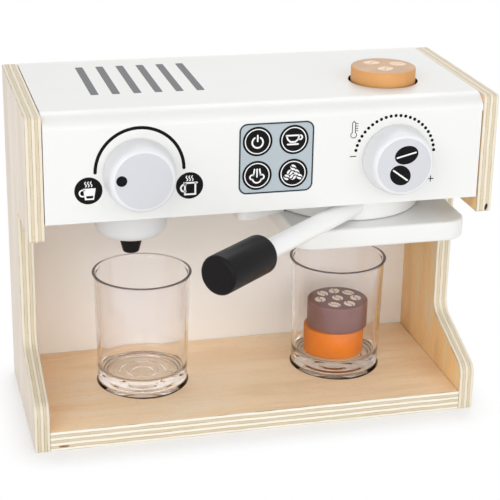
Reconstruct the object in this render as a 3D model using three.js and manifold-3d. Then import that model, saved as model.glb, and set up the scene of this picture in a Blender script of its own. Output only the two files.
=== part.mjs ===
// Wooden toy coffee maker: a plywood cabinet with a white head, two turning dials, a spout,
// a swinging portafilter, two clear cups and three coffee discs.
// Millimetres, +Z up, front towards -Y. The origin is the middle of the underside.
import * as THREE from 'three';
import { mergeVertices } from 'three/addons/utils/BufferGeometryUtils.js';
import Module from 'manifold-3d';

const wasm = await Module();
wasm.setup();

// Cabinet
const HEAD_DEPTH = 117;
const HEAD_HEIGHT = 61;
const SIDE_PLY = 9;
const BASE_PLY = 12;
const BACK_BOARD = 3;
const HEAD_BOARD = 9;
const FLOOR_BOARD = 9;
const HEAD_ROUND_DEPTH = 12;
const HEAD_ROUND_LAND = 0.5;
const FOOT_SETBACK = 5;
const CUP_HEADROOM = 28.3;

// Side panel outline
const LIP_DROP = 10;
const NECK_DEPTH = 60.5;
const SLOPE_TOP = 46.5;
const FOOT_HEIGHT = 28;
const BACK_CORNER = 1;
const HEAD_CORNER = 2.5;
const LIP_CORNER = 2;
const NECK_CORNER = 8;
const SLOPE_CORNER = 10;
const FOOT_CORNER = 8;

// Dials, each a turned knob on a screw with a washer behind the board
const KNOB_SPREAD = 148;
const KNOB_DROP = 34.2;
const KNOB_BACK_RADIUS = 20;
const KNOB_TAPER = 2;
const KNOB_LENGTH = 14.5;
const KNOB_ROUND = 3.5;
const KNOB_EDGE = 0.8;
const WASHER_RADIUS = 6;
const WASHER_THICKNESS = 1;

// Spout
const SPOUT_FROM_SIDE = 54;
const SPOUT_TO_GUIDE = 62;
const SPOUT_FROM_BACK = 78;
const BOWL_RADIUS = 20.7;
const BOWL_HEIGHT = 21.5;
const BOWL_ROUND = 6;
const NOZZLE_TOP_RADIUS = 7.7;
const NOZZLE_TIP_RADIUS = 4.6;
const NOZZLE_LENGTH = 11.8;
const NOZZLE_ROUND = 0.8;
const NOZZLE_SPIGOT_RADIUS = 3.5;
const NOZZLE_SPIGOT_LENGTH = 8;

// Portafilter: a flat disc that turns on the shelf, with a bar and a grip to one side of its middle
const DISC_RADIUS = 46;
const DISC_THICKNESS = 16.3;
const DISC_ROUND = 1;
const HANDLE_OFFSET = 28;
const HANDLE_TURN = THREE.MathUtils.degToRad(-49);
const STEM_RADIUS = 5.75;
const STEM_SOCKET = 16;
const GRIP_END = 170;
const GRIP_LENGTH = 41;
const GRIP_RADIUS = 11;
const GRIP_ROUND = 2;
const GRIP_BORE_DEPTH = 28;

// Boards under the head that carry the portafilter
const SHELF_THICKNESS = 12;
const SHELF_SIDE_GAP = 1;
const SHELF_FRONT_SETBACK = 5.5;
const SHELF_CORNER = 14;
const SHELF_EDGE = 1.5;
const GUIDE_LEFT_WALL = 26.1;
const GUIDE_RIGHT_WALL = 13.9;
const GUIDE_BACK_WALL = 3.5;
const GUIDE_ARM_FROM_BACK = 85;
const GUIDE_ARM_FLAT = 8;
const GUIDE_RIGHT_FROM_BACK = 70;
const GUIDE_CORNER = 5;
const GUIDE_LEAD_ANGLE = THREE.MathUtils.degToRad(24.5);
const POCKET_GAP = 1.5;

// Coffee discs, the hole in the top and the ledge under it
const COFFEE_RADIUS = 19;
const COFFEE_THICKNESS = 17;
const COFFEE_EDGE = 0.8;
const COFFEE_SIDE_STEP = 2;
const HOLE_FROM_SIDE = 46.6;
const HOLE_GAP = 1.5;
const REST_MARGIN = 9;
const REST_SETBACK = 5;
const REST_THICKNESS = 9;

// Cups and the recesses that they stand in
const CUP_TO_SPOUT = 11.2;
const CUP_FROM_BACK = 51;
const CUP_HEIGHT = 74;
const CUP_DISC_ROOM = 6.4;
const CUP_TAPER = 2.1;
const CUP_LIP_OUT = 1;
const CUP_LIP_HEIGHT = 3;
const CUP_WALL = 1.7;
const CUP_FLOOR = 10.8;
const CUP_INNER_ROUND = 4.5;
const CUP_HOLLOW = 2.5;
const CUP_FOOT_RIM = 3;
const CUP_FOOT_ROUND = 1;
const RECESS_DEPTH = 2.5;
const RECESS_GAP = 0.9;

// Fasteners
const DOWEL_RADIUS = 3;
const DOWEL_IN_SIDE = 6;
const DOWEL_IN_BOARD = 15;
const DOWEL_FROM_EDGE = 22;
const SCREW_RADIUS = 1.75;
const SCREW_HEAD_RADIUS = 3.6;
const SCREW_HEAD_HEIGHT = 2.2;
const SCREW_BITE = 9;
const FLOOR_BITE = 4.5;
const CROSS_WIDTH = 0.9;
const CROSS_LENGTH = 3.8;
const CROSS_DEPTH = 1.2;
const BACK_SCREW_INSET = 24;
const SHELF_SCREW_INSET = 7;
const GUIDE_SCREW_INSET = 12;

// Clearances
const GLUE_GAP = 0.1;
const END_GAP = 0.5;
const RUN_GAP = 0.3;
const OVERRUN = 1;

// Rounding steps
const WIDE_STEPS = 36;
const DISC_STEPS = 24;
const SMALL_STEPS = 10;
const CORNER_STEPS = 4;
const EDGE_STEPS = 2;

// Radii that follow from each other
const HOLE_RADIUS = COFFEE_RADIUS + HOLE_GAP;
const CUP_FOOT_RADIUS = COFFEE_RADIUS + CUP_DISC_ROOM + CUP_WALL;
const CUP_NECK_RADIUS = CUP_FOOT_RADIUS + CUP_TAPER;
const CUP_RIM_RADIUS = CUP_NECK_RADIUS + CUP_LIP_OUT;
const POCKET_RADIUS = DISC_RADIUS + POCKET_GAP;

// Heights, stacked up from the floor
const CUP_SEAT = BASE_PLY - RECESS_DEPTH + RUN_GAP;
const SHELF_UNDERSIDE = CUP_SEAT + CUP_HEIGHT + CUP_HEADROOM;
const SHELF_TOP = SHELF_UNDERSIDE + SHELF_THICKNESS;
const GUIDE_THICKNESS = DISC_THICKNESS + RUN_GAP * 2;
const HEAD_UNDERSIDE = SHELF_TOP + GUIDE_THICKNESS;
const FLOOR_TOP = HEAD_UNDERSIDE + FLOOR_BOARD;
const LIP_UNDERSIDE = HEAD_UNDERSIDE - LIP_DROP;
const HEIGHT = HEAD_UNDERSIDE + HEAD_HEIGHT;
const TOP_UNDERSIDE = HEIGHT - HEAD_BOARD;
const KNOB_Z = HEIGHT - KNOB_DROP;

// Places across, from the left side panel to the right one
const GUIDE_WIDTH = GUIDE_LEFT_WALL + POCKET_RADIUS * 2 + GUIDE_RIGHT_WALL;
const INNER_X = (SPOUT_FROM_SIDE + SPOUT_TO_GUIDE + GUIDE_WIDTH + SHELF_SIDE_GAP) / 2;
const SPOUT_X = SPOUT_FROM_SIDE - INNER_X;
const GUIDE_LEFT_X = SPOUT_X + SPOUT_TO_GUIDE;
const DISC_X = GUIDE_LEFT_X + GUIDE_LEFT_WALL + POCKET_RADIUS;
const SHELF_LEFT_X = DISC_X - DISC_RADIUS;
const SHELF_RIGHT_X = INNER_X - SHELF_SIDE_GAP;
const LEFT_CUP_X = SPOUT_X + CUP_TO_SPOUT;
const RIGHT_CUP_X = DISC_X;
const HOLE_X = INNER_X - HOLE_FROM_SIDE;

// Places from front to back
const BACK_Y = HEAD_DEPTH / 2;
const FRONT_Y = -HEAD_DEPTH / 2;
const FOOT_Y = FRONT_Y + FOOT_SETBACK;
const BOARDS_BACK_Y = BACK_Y - BACK_BOARD;
const SPOUT_Y = BACK_Y - SPOUT_FROM_BACK;
const DISC_Y = BOARDS_BACK_Y - GUIDE_BACK_WALL - POCKET_RADIUS;
const CUP_Y = BACK_Y - CUP_FROM_BACK;
const REST_HALF = HOLE_RADIUS + REST_MARGIN;
const HOLE_Y = FRONT_Y + HEAD_BOARD + REST_SETBACK + REST_HALF;

const SQUARE_TURN = Math.PI / 2;

const birch = { color: 0xe6cfa6, roughness: 0.6, metalness: 0 };
const whiteLacquer = { color: 0xf1f1ee, roughness: 0.45, metalness: 0 };
const greyLacquer = { color: 0xd9dbe0, roughness: 0.45, metalness: 0 };
const blackLacquer = { color: 0x221f1f, roughness: 0.4, metalness: 0 };
const clearPlastic = { color: 0xe9e4e2, roughness: 0.08, metalness: 0, transparent: true, opacity: 0.35 };
const caramelPaint = { color: 0xd99a58, roughness: 0.5, metalness: 0 };
const brownPaint = { color: 0x735852, roughness: 0.5, metalness: 0 };
const orangePaint = { color: 0xeb7d32, roughness: 0.5, metalness: 0 };
const beech = { color: 0xcfa878, roughness: 0.7, metalness: 0 };
const zincSteel = { color: 0xb9bcc0, roughness: 0.35, metalness: 0.9 };

const toy = new THREE.Group();

// Adds one named piece to a group
function place(parent, name, geometry, finish, x = 0, y = 0, z = 0) {
  const mesh = new THREE.Mesh(geometry, new THREE.MeshStandardMaterial(finish));
  mesh.name = name;
  mesh.position.set(x, y, z);
  parent.add(mesh);
  return mesh;
}

// A closed mesh as a solid, with its seams merged and its zero-width faces left out
function toSolid(geometry) {
  const bare = geometry.clone();
  bare.deleteAttribute('normal');
  bare.deleteAttribute('uv');
  const merged = mergeVertices(bare);
  const faces = [];
  for (let i = 0; i < merged.index.count; i += 3) {
    const [a, b, c] = [0, 1, 2].map((k) => merged.index.getX(i + k));
    if (a !== b && b !== c && c !== a) faces.push(a, b, c);
  }
  return new wasm.Manifold(new wasm.Mesh({
    numProp: 3,
    vertProperties: merged.attributes.position.array,
    triVerts: new Uint32Array(faces),
  }));
}

function toGeometry(solid) {
  const mesh = solid.getMesh();
  const geometry = new THREE.BufferGeometry();
  geometry.setAttribute('position', new THREE.BufferAttribute(mesh.vertProperties, 3));
  geometry.setIndex(new THREE.BufferAttribute(mesh.triVerts, 1));
  geometry.computeVertexNormals();
  return geometry;
}

function cut(geometry, tools) {
  return toGeometry(tools.reduce((solid, tool) => solid.subtract(toSolid(tool)), toSolid(geometry)));
}

// A block between two corners
function block(x0, x1, y0, y1, z0, z1) {
  const geometry = new THREE.BoxGeometry(x1 - x0, y1 - y0, z1 - z0);
  return geometry.translate((x0 + x1) / 2, (y0 + y1) / 2, (z0 + z1) / 2);
}

// A solid turned about Z from [radius, height] points, which start and end on the axis
function turned(profile, steps) {
  const points = profile.map(([radius, height]) => new THREE.Vector2(radius, height));
  return new THREE.LatheGeometry(points, steps).rotateX(SQUARE_TURN);
}

// A round bar along Z with its lower end at the given height
function bar(radius, length, bottom = 0, steps = SMALL_STEPS) {
  return new THREE.CylinderGeometry(radius, radius, length, steps)
    .rotateX(SQUARE_TURN)
    .translate(0, 0, bottom + length / 2);
}

// A round bar along X, from one place to another
function barAlongX(radius, from, to, y, z) {
  return new THREE.CylinderGeometry(radius, radius, to - from, SMALL_STEPS)
    .rotateZ(-SQUARE_TURN)
    .translate((from + to) / 2, y, z);
}

// Points of a round in a turned profile, between two directions given in quarter turns
function quarter(radius, height, round, from, to, steps = CORNER_STEPS) {
  const points = [];
  for (let i = 0; i <= steps; i += 1) {
    const angle = (from + (to - from) * i / steps) * SQUARE_TURN;
    points.push([radius + round * Math.cos(angle), height + round * Math.sin(angle)]);
  }
  return points;
}

// An outline through corners given as [x, y, radius], each rounded by its radius
function roundedOutline(corners) {
  const shape = new THREE.Shape();
  corners.forEach(([x, y, radius], i) => {
    const goTo = (point) => (i === 0 ? shape.moveTo(point.x, point.y) : shape.lineTo(point.x, point.y));
    const corner = new THREE.Vector2(x, y);
    if (radius === 0) {
      goTo(corner);
      return;
    }
    const [before, after] = [-1, 1].map((step) => {
      const [nextX, nextY] = corners[(i + step + corners.length) % corners.length];
      return new THREE.Vector2(nextX, nextY).sub(corner).normalize();
    });
    const half = Math.acos(before.dot(after)) / 2;
    const reach = radius / Math.tan(half);
    const start = before.clone().multiplyScalar(reach).add(corner);
    const end = after.clone().multiplyScalar(reach).add(corner);
    const middle = before.clone().add(after).normalize().multiplyScalar(radius / Math.sin(half)).add(corner);
    const clockwise = before.cross(after) > 0;
    goTo(start);
    const [from, to] = [start, end].map((point) => point.clone().sub(middle).angle());
    shape.absarc(middle.x, middle.y, radius, from, to, clockwise);
  });
  shape.closePath();
  return shape;
}

// A flat board cut to an outline in X and Y
function board(outline, thickness, bottom, steps = CORNER_STEPS) {
  return new THREE.ExtrudeGeometry(outline, { depth: thickness, bevelEnabled: false, curveSegments: steps })
    .translate(0, 0, bottom);
}

// Turns a board whose outline is in Y and Z so that its thickness runs along X
function onEdge(geometry) {
  const axes = [new THREE.Vector3(0, 1, 0), new THREE.Vector3(0, 0, 1), new THREE.Vector3(1, 0, 0)];
  return geometry.applyMatrix4(new THREE.Matrix4().makeBasis(...axes));
}

// Dowel places [y, z] for the boards between the side panels
function dowelRows() {
  return {
    base: [FOOT_Y + DOWEL_FROM_EDGE, BOARDS_BACK_Y - DOWEL_FROM_EDGE].map((y) => [y, BASE_PLY / 2]),
    floor: [FRONT_Y + HEAD_BOARD + DOWEL_FROM_EDGE, BOARDS_BACK_Y - DOWEL_FROM_EDGE]
      .map((y) => [y, HEAD_UNDERSIDE + FLOOR_BOARD / 2]),
    top: [FRONT_Y + DOWEL_FROM_EDGE, BOARDS_BACK_Y - DOWEL_FROM_EDGE]
      .map((y) => [y, HEIGHT - HEAD_BOARD / 2]),
  };
}

// The holes for one row of dowels, in the side panels and in the board's two ends
function dowelHoles(row) {
  const reach = [INNER_X - DOWEL_IN_BOARD - END_GAP, INNER_X + DOWEL_IN_SIDE + END_GAP];
  return row.flatMap(([y, z]) => [-1, 1].map((side) => {
    const [from, to] = reach.map((x) => side * x);
    return barAlongX(DOWEL_RADIUS + GLUE_GAP, Math.min(from, to), Math.max(from, to), y, z);
  }));
}

function makeDowels() {
  Object.entries(dowelRows()).forEach(([boardName, row]) => {
    row.forEach(([y, z], i) => {
      [['left', -1], ['right', 1]].forEach(([sideName, side]) => {
        const [from, to] = [INNER_X - DOWEL_IN_BOARD, INNER_X + DOWEL_IN_SIDE].map((x) => side * x);
        const name = `${boardName}_dowel_${sideName}_${i + 1}`;
        place(toy, name, barAlongX(DOWEL_RADIUS, Math.min(from, to), Math.max(from, to), y, z), beech);
      });
    });
  });
}

function sidePanelOutline() {
  const neckY = BACK_Y - NECK_DEPTH;
  return roundedOutline([
    [BACK_Y, 0, 0],
    [BACK_Y, HEIGHT, BACK_CORNER],
    [FRONT_Y, HEIGHT, HEAD_CORNER],
    [FRONT_Y, LIP_UNDERSIDE, LIP_CORNER],
    [neckY, LIP_UNDERSIDE, NECK_CORNER],
    [neckY, SLOPE_TOP, SLOPE_CORNER],
    [FOOT_Y, FOOT_HEIGHT, FOOT_CORNER],
    [FOOT_Y, 0, 0],
  ]);
}

function makeSidePanels() {
  const holes = Object.values(dowelRows()).flatMap(dowelHoles);
  [['left_side_panel', -INNER_X - SIDE_PLY], ['right_side_panel', INNER_X]].forEach(([name, x]) => {
    const panel = onEdge(board(sidePanelOutline(), SIDE_PLY, 0)).translate(x, 0, 0);
    place(toy, name, cut(panel, holes), birch);
  });
}

// A screw along Z whose shank points up from the underside of its head at height zero
function screw(shankLength) {
  const profile = [
    [0, -SCREW_HEAD_HEIGHT],
    [SCREW_HEAD_RADIUS / 2, -SCREW_HEAD_HEIGHT],
    [SCREW_HEAD_RADIUS, -SCREW_HEAD_HEIGHT / 3],
    [SCREW_HEAD_RADIUS, 0],
    [SCREW_RADIUS, 0],
    [SCREW_RADIUS, shankLength - SCREW_RADIUS * 2],
    [0, shankLength],
  ];
  const bottom = -SCREW_HEAD_HEIGHT - OVERRUN;
  const top = -SCREW_HEAD_HEIGHT + CROSS_DEPTH;
  const slots = [[CROSS_LENGTH, CROSS_WIDTH], [CROSS_WIDTH, CROSS_LENGTH]]
    .map(([x, y]) => block(-x / 2, x / 2, -y / 2, y / 2, bottom, top));
  return cut(turned(profile, SMALL_STEPS), slots);
}

function screwHole(length, bottom = 0) {
  return bar(SCREW_RADIUS + GLUE_GAP, length, bottom);
}

// Screw places in the back board, [x, z]
function backScrewPlaces() {
  const across = [-INNER_X + BACK_SCREW_INSET, 0, INNER_X - BACK_SCREW_INSET];
  const levels = [BASE_PLY / 2, HEAD_UNDERSIDE + FLOOR_BOARD / 2];
  return levels.flatMap((z) => across.map((x) => [x, z]));
}

// Holes along Y for the back screws, through the back board and into what is in front of it
function backScrewHoles() {
  return backScrewPlaces().map(([x, z]) => screwHole(BACK_BOARD + SCREW_BITE + END_GAP + OVERRUN, -OVERRUN)
    .rotateX(SQUARE_TURN)
    .translate(x, BACK_Y, z));
}

function makeBackPanel() {
  const panel = block(-INNER_X, INNER_X, BOARDS_BACK_Y, BACK_Y, 0, HEIGHT);
  place(toy, 'back_panel', cut(panel, backScrewHoles()), whiteLacquer);
  backScrewPlaces().forEach(([x, z], i) => {
    const fixing = place(toy, `back_screw_${i + 1}`, screw(BACK_BOARD + SCREW_BITE), zincSteel, x, BACK_Y, z);
    fixing.rotation.x = SQUARE_TURN;
  });
}

function makeBaseBoard() {
  const recesses = [LEFT_CUP_X, RIGHT_CUP_X].map((x) => bar(
    CUP_FOOT_RADIUS + RECESS_GAP,
    RECESS_DEPTH + OVERRUN,
    BASE_PLY - RECESS_DEPTH,
    WIDE_STEPS,
  ).translate(x, CUP_Y, 0));
  const plank = block(-INNER_X, INNER_X, FOOT_Y, BOARDS_BACK_Y, 0, BASE_PLY);
  const tools = [...recesses, ...dowelHoles(dowelRows().base), ...backScrewHoles()];
  place(toy, 'base_board', cut(plank, tools), birch);
}

function knobPlaces() {
  return [['left', -KNOB_SPREAD / 2], ['right', KNOB_SPREAD / 2]];
}

function makeHeadFrontPanel() {
  const panel = block(-INNER_X, INNER_X, FRONT_Y, FRONT_Y + HEAD_BOARD, HEAD_UNDERSIDE, TOP_UNDERSIDE);
  const holes = knobPlaces().map(([, x]) => screwHole(HEAD_BOARD + OVERRUN * 2, -OVERRUN)
    .rotateX(SQUARE_TURN)
    .translate(x, FRONT_Y + HEAD_BOARD, KNOB_Z));
  place(toy, 'head_front_panel', cut(panel, holes), whiteLacquer);
}

// The top board, whose front edge rolls over into the front board
function makeHeadTopPanel() {
  const drop = HEAD_BOARD - HEAD_ROUND_LAND;
  const roundY = FRONT_Y + HEAD_ROUND_DEPTH;
  const outline = new THREE.Shape();
  outline.moveTo(BOARDS_BACK_Y, TOP_UNDERSIDE);
  outline.lineTo(BOARDS_BACK_Y, HEIGHT);
  outline.lineTo(roundY, HEIGHT);
  outline.absellipse(roundY, HEIGHT - drop, HEAD_ROUND_DEPTH, drop, SQUARE_TURN, SQUARE_TURN * 2, false, 0);
  outline.lineTo(FRONT_Y, TOP_UNDERSIDE);
  outline.closePath();
  const panel = onEdge(board(outline, INNER_X * 2, -INNER_X, CORNER_STEPS * 2));
  const hole = bar(HOLE_RADIUS, HEAD_BOARD + OVERRUN * 2, TOP_UNDERSIDE - OVERRUN, WIDE_STEPS)
    .translate(HOLE_X, HOLE_Y, 0);
  place(toy, 'head_top_panel', cut(panel, [hole, ...dowelHoles(dowelRows().top)]), whiteLacquer);
}

// The ledge under the hole, on which a coffee disc rests
function makeDiscRest() {
  const [left, right] = [HOLE_X - REST_HALF, HOLE_X + REST_HALF];
  const [front, back] = [HOLE_Y - REST_HALF, HOLE_Y + REST_HALF];
  const ledge = block(left, right, front, back, TOP_UNDERSIDE - REST_THICKNESS, TOP_UNDERSIDE);
  place(toy, 'disc_rest', ledge, whiteLacquer);
}

// Screws that hold the shelf and the guide board under the head floor, [name, x, y, seat of the screw's head]
function underScrews() {
  const backY = BOARDS_BACK_Y - SHELF_SCREW_INSET;
  const rightX = SHELF_RIGHT_X - SHELF_SCREW_INSET;
  const armX = GUIDE_LEFT_X + GUIDE_SCREW_INSET;
  const armY = BACK_Y - GUIDE_ARM_FROM_BACK;
  return [
    ['shelf_screw_1', SHELF_LEFT_X + SHELF_SCREW_INSET, backY, SHELF_UNDERSIDE],
    ['shelf_screw_2', rightX, backY, SHELF_UNDERSIDE],
    ['shelf_screw_3', rightX, BACK_Y - GUIDE_RIGHT_FROM_BACK + SHELF_SCREW_INSET, SHELF_UNDERSIDE],
    ['guide_screw_1', armX, armY + GUIDE_SCREW_INSET * 4, SHELF_TOP],
    ['guide_screw_2', armX, armY + GUIDE_SCREW_INSET * 2, SHELF_TOP],
  ];
}

function underScrewHoles(screws = underScrews()) {
  const length = HEAD_UNDERSIDE + FLOOR_BITE + END_GAP - SHELF_UNDERSIDE + OVERRUN;
  return screws.map(([, x, y]) => screwHole(length, SHELF_UNDERSIDE - OVERRUN).translate(x, y, 0));
}

function makeUnderScrews() {
  underScrews().forEach(([name, x, y, seat]) => {
    const length = HEAD_UNDERSIDE + FLOOR_BITE - seat;
    place(toy, name, screw(length), zincSteel, x, y, seat);
  });
}

function makeHeadFloor() {
  const floor = block(-INNER_X, INNER_X, FRONT_Y + HEAD_BOARD, BOARDS_BACK_Y, HEAD_UNDERSIDE, FLOOR_TOP);
  const spoutHole = screwHole(FLOOR_BOARD + OVERRUN * 2, HEAD_UNDERSIDE - OVERRUN)
    .translate(SPOUT_X, SPOUT_Y, 0);
  const tools = [spoutHole, ...dowelHoles(dowelRows().floor), ...backScrewHoles(), ...underScrewHoles()];
  place(toy, 'head_floor', cut(floor, tools), whiteLacquer);
}

// The board round the portafilter disc: a round pocket, and a slanted edge that the handle swings up to
function makeGuideBoard() {
  const armY = BACK_Y - GUIDE_ARM_FROM_BACK;
  const rightY = BACK_Y - GUIDE_RIGHT_FROM_BACK;
  const leadX = GUIDE_LEFT_X + GUIDE_ARM_FLAT;
  const leadReach = DISC_X - leadX;
  const outline = roundedOutline([
    [GUIDE_LEFT_X, BOARDS_BACK_Y, 0],
    [GUIDE_LEFT_X, armY, GUIDE_CORNER],
    [leadX, armY, 0],
    [DISC_X, armY + leadReach * Math.tan(GUIDE_LEAD_ANGLE), 0],
    [DISC_X, rightY, 0],
    [SHELF_RIGHT_X, rightY, 0],
    [SHELF_RIGHT_X, BOARDS_BACK_Y, 0],
  ]);
  const hollow = bar(POCKET_RADIUS, GUIDE_THICKNESS + OVERRUN * 2, SHELF_TOP - OVERRUN, WIDE_STEPS)
    .translate(DISC_X, DISC_Y, 0);
  const tools = [hollow, ...underScrewHoles()];
  place(toy, 'guide_board', cut(board(outline, GUIDE_THICKNESS, SHELF_TOP), tools), whiteLacquer);
}

function makeShelf() {
  const frontY = FRONT_Y + SHELF_FRONT_SETBACK;
  const outline = roundedOutline([
    [SHELF_LEFT_X + SHELF_EDGE, BOARDS_BACK_Y - SHELF_EDGE, 0],
    [SHELF_LEFT_X + SHELF_EDGE, frontY + SHELF_EDGE, SHELF_CORNER - SHELF_EDGE],
    [SHELF_RIGHT_X - SHELF_EDGE, frontY + SHELF_EDGE, SHELF_CORNER - SHELF_EDGE],
    [SHELF_RIGHT_X - SHELF_EDGE, BOARDS_BACK_Y - SHELF_EDGE, 0],
  ]);
  const tray = new THREE.ExtrudeGeometry(outline, {
    depth: SHELF_THICKNESS - SHELF_EDGE * 2,
    bevelThickness: SHELF_EDGE,
    bevelSize: SHELF_EDGE,
    bevelSegments: EDGE_STEPS,
    curveSegments: CORNER_STEPS * 2,
  }).translate(0, 0, SHELF_UNDERSIDE + SHELF_EDGE);
  const holes = underScrewHoles(underScrews().filter(([, , , seat]) => seat === SHELF_UNDERSIDE));
  place(toy, 'portafilter_shelf', cut(tray, holes), whiteLacquer);
}

// One dial: everything in its group faces the front, with the group's Z axis along the screw
function makeDial(name, x) {
  const dial = new THREE.Group();
  dial.position.set(x, FRONT_Y, KNOB_Z);
  dial.rotation.x = SQUARE_TURN;
  toy.add(dial);
  const face = RUN_GAP + KNOB_LENGTH;
  const faceRadius = KNOB_BACK_RADIUS - KNOB_TAPER;
  const hole = SCREW_RADIUS + GLUE_GAP;
  const seat = -HEAD_BOARD - WASHER_THICKNESS - RUN_GAP;
  place(dial, `${name}_knob`, turned([
    [0, RUN_GAP + SCREW_BITE + END_GAP],
    [hole, RUN_GAP + SCREW_BITE + END_GAP],
    [hole, RUN_GAP],
    [KNOB_BACK_RADIUS - KNOB_EDGE, RUN_GAP],
    [KNOB_BACK_RADIUS, RUN_GAP + KNOB_EDGE],
    ...quarter(faceRadius - KNOB_ROUND, face - KNOB_ROUND, KNOB_ROUND, 0, 1),
    [0, face],
  ], WIDE_STEPS), greyLacquer);
  place(dial, `${name}_knob_screw`, screw(SCREW_BITE + RUN_GAP - seat), zincSteel, 0, 0, seat);
  const washer = cut(
    bar(WASHER_RADIUS, WASHER_THICKNESS, -HEAD_BOARD - WASHER_THICKNESS, DISC_STEPS),
    [bar(SCREW_RADIUS + RUN_GAP, WASHER_THICKNESS + OVERRUN * 2, -HEAD_BOARD - WASHER_THICKNESS - OVERRUN)],
  );
  place(dial, `${name}_knob_washer`, washer, zincSteel);
}

function makeSpout() {
  const spout = new THREE.Group();
  spout.position.set(SPOUT_X, SPOUT_Y, 0);
  toy.add(spout);
  const bottom = HEAD_UNDERSIDE - BOWL_HEIGHT;
  const socket = NOZZLE_SPIGOT_RADIUS + GLUE_GAP;
  const hole = SCREW_RADIUS + GLUE_GAP;
  const bowl = turned([
    [0, bottom + NOZZLE_SPIGOT_LENGTH + END_GAP],
    [socket, bottom + NOZZLE_SPIGOT_LENGTH + END_GAP],
    [socket, bottom],
    ...quarter(BOWL_RADIUS - BOWL_ROUND, bottom + BOWL_ROUND, BOWL_ROUND, -1, 0),
    [BOWL_RADIUS, HEAD_UNDERSIDE],
    [hole, HEAD_UNDERSIDE],
    [hole, HEAD_UNDERSIDE - SCREW_BITE - END_GAP],
    [0, HEAD_UNDERSIDE - SCREW_BITE - END_GAP],
  ], WIDE_STEPS);
  place(spout, 'spout_bowl', bowl, whiteLacquer);
  const tip = bottom - NOZZLE_LENGTH;
  const nozzle = turned([
    [0, tip],
    ...quarter(NOZZLE_TIP_RADIUS - NOZZLE_ROUND, tip + NOZZLE_ROUND, NOZZLE_ROUND, -1, 0, EDGE_STEPS),
    [NOZZLE_TOP_RADIUS, bottom],
    [NOZZLE_SPIGOT_RADIUS, bottom],
    [NOZZLE_SPIGOT_RADIUS, bottom + NOZZLE_SPIGOT_LENGTH],
    [0, bottom + NOZZLE_SPIGOT_LENGTH],
  ], DISC_STEPS);
  place(spout, 'spout_nozzle', nozzle, blackLacquer);
  const fixing = place(spout, 'spout_screw', screw(FLOOR_BOARD + SCREW_BITE), zincSteel, 0, 0, FLOOR_TOP);
  fixing.rotation.x = SQUARE_TURN * 2;
}

// The portafilter's own group turns about the disc's middle, and its handle points along -Y there
function makePortafilter() {
  const filter = new THREE.Group();
  filter.position.set(DISC_X, DISC_Y, SHELF_TOP + RUN_GAP);
  filter.rotation.z = HANDLE_TURN;
  toy.add(filter);
  const middle = DISC_THICKNESS / 2;
  const rim = -Math.sqrt(DISC_RADIUS ** 2 - HANDLE_OFFSET ** 2);
  const stemStart = rim + STEM_SOCKET;
  const gripStart = -GRIP_END + GRIP_LENGTH;
  const stemEnd = gripStart - GRIP_BORE_DEPTH + RUN_GAP;
  // Turns a bar along Z so that it runs along -Y from the given place
  const alongHandle = (geometry, start) => geometry
    .rotateX(SQUARE_TURN)
    .translate(HANDLE_OFFSET, start, middle);
  const disc = turned([
    [0, 0],
    ...quarter(DISC_RADIUS - DISC_ROUND, DISC_ROUND, DISC_ROUND, -1, 0, EDGE_STEPS),
    ...quarter(DISC_RADIUS - DISC_ROUND, DISC_THICKNESS - DISC_ROUND, DISC_ROUND, 0, 1, EDGE_STEPS),
    [0, DISC_THICKNESS],
  ], WIDE_STEPS);
  const socket = alongHandle(bar(STEM_RADIUS + RUN_GAP, DISC_RADIUS, -RUN_GAP, DISC_STEPS), stemStart);
  place(filter, 'portafilter_disc', cut(disc, [socket]), whiteLacquer);
  const stem = alongHandle(bar(STEM_RADIUS, stemStart - stemEnd, 0, DISC_STEPS), stemStart);
  place(filter, 'portafilter_stem', stem, whiteLacquer);
  const bore = STEM_RADIUS + RUN_GAP;
  const grip = turned([
    [0, GRIP_BORE_DEPTH],
    [bore, GRIP_BORE_DEPTH],
    [bore, 0],
    ...quarter(GRIP_RADIUS - GRIP_ROUND, GRIP_ROUND, GRIP_ROUND, -1, 0, EDGE_STEPS),
    ...quarter(GRIP_RADIUS - GRIP_ROUND, GRIP_LENGTH - GRIP_ROUND, GRIP_ROUND, 0, 1, EDGE_STEPS),
    [0, GRIP_LENGTH],
  ], DISC_STEPS);
  place(filter, 'portafilter_grip', alongHandle(grip, gripStart), blackLacquer);
}

// A clear cup with a slight taper, a rounded lip, a thick floor and a hollow under it
function cup() {
  const lip = CUP_WALL / 2;
  const inner = CUP_NECK_RADIUS - CUP_WALL;
  const innerFoot = CUP_FOOT_RADIUS - CUP_WALL;
  return turned([
    [0, CUP_HOLLOW],
    [CUP_FOOT_RADIUS - CUP_FOOT_RIM - CUP_HOLLOW, CUP_HOLLOW],
    [CUP_FOOT_RADIUS - CUP_FOOT_RIM, 0],
    [CUP_FOOT_RADIUS - CUP_FOOT_ROUND, 0],
    [CUP_FOOT_RADIUS, CUP_FOOT_ROUND],
    [CUP_NECK_RADIUS, CUP_HEIGHT - CUP_LIP_HEIGHT],
    [CUP_RIM_RADIUS, CUP_HEIGHT - CUP_LIP_HEIGHT / 2],
    ...quarter(CUP_RIM_RADIUS - lip, CUP_HEIGHT - lip, lip, 0, 2, EDGE_STEPS * 2),
    [inner, CUP_HEIGHT - CUP_LIP_HEIGHT],
    ...quarter(innerFoot - CUP_INNER_ROUND, CUP_FLOOR + CUP_INNER_ROUND, CUP_INNER_ROUND, 0, -1, EDGE_STEPS),
    [0, CUP_FLOOR],
  ], WIDE_STEPS);
}

function coffeeDisc() {
  return turned([
    [0, 0],
    [COFFEE_RADIUS - COFFEE_EDGE, 0],
    [COFFEE_RADIUS, COFFEE_EDGE],
    [COFFEE_RADIUS, COFFEE_THICKNESS - COFFEE_EDGE],
    [COFFEE_RADIUS - COFFEE_EDGE, COFFEE_THICKNESS],
    [0, COFFEE_THICKNESS],
  ], DISC_STEPS);
}

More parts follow.
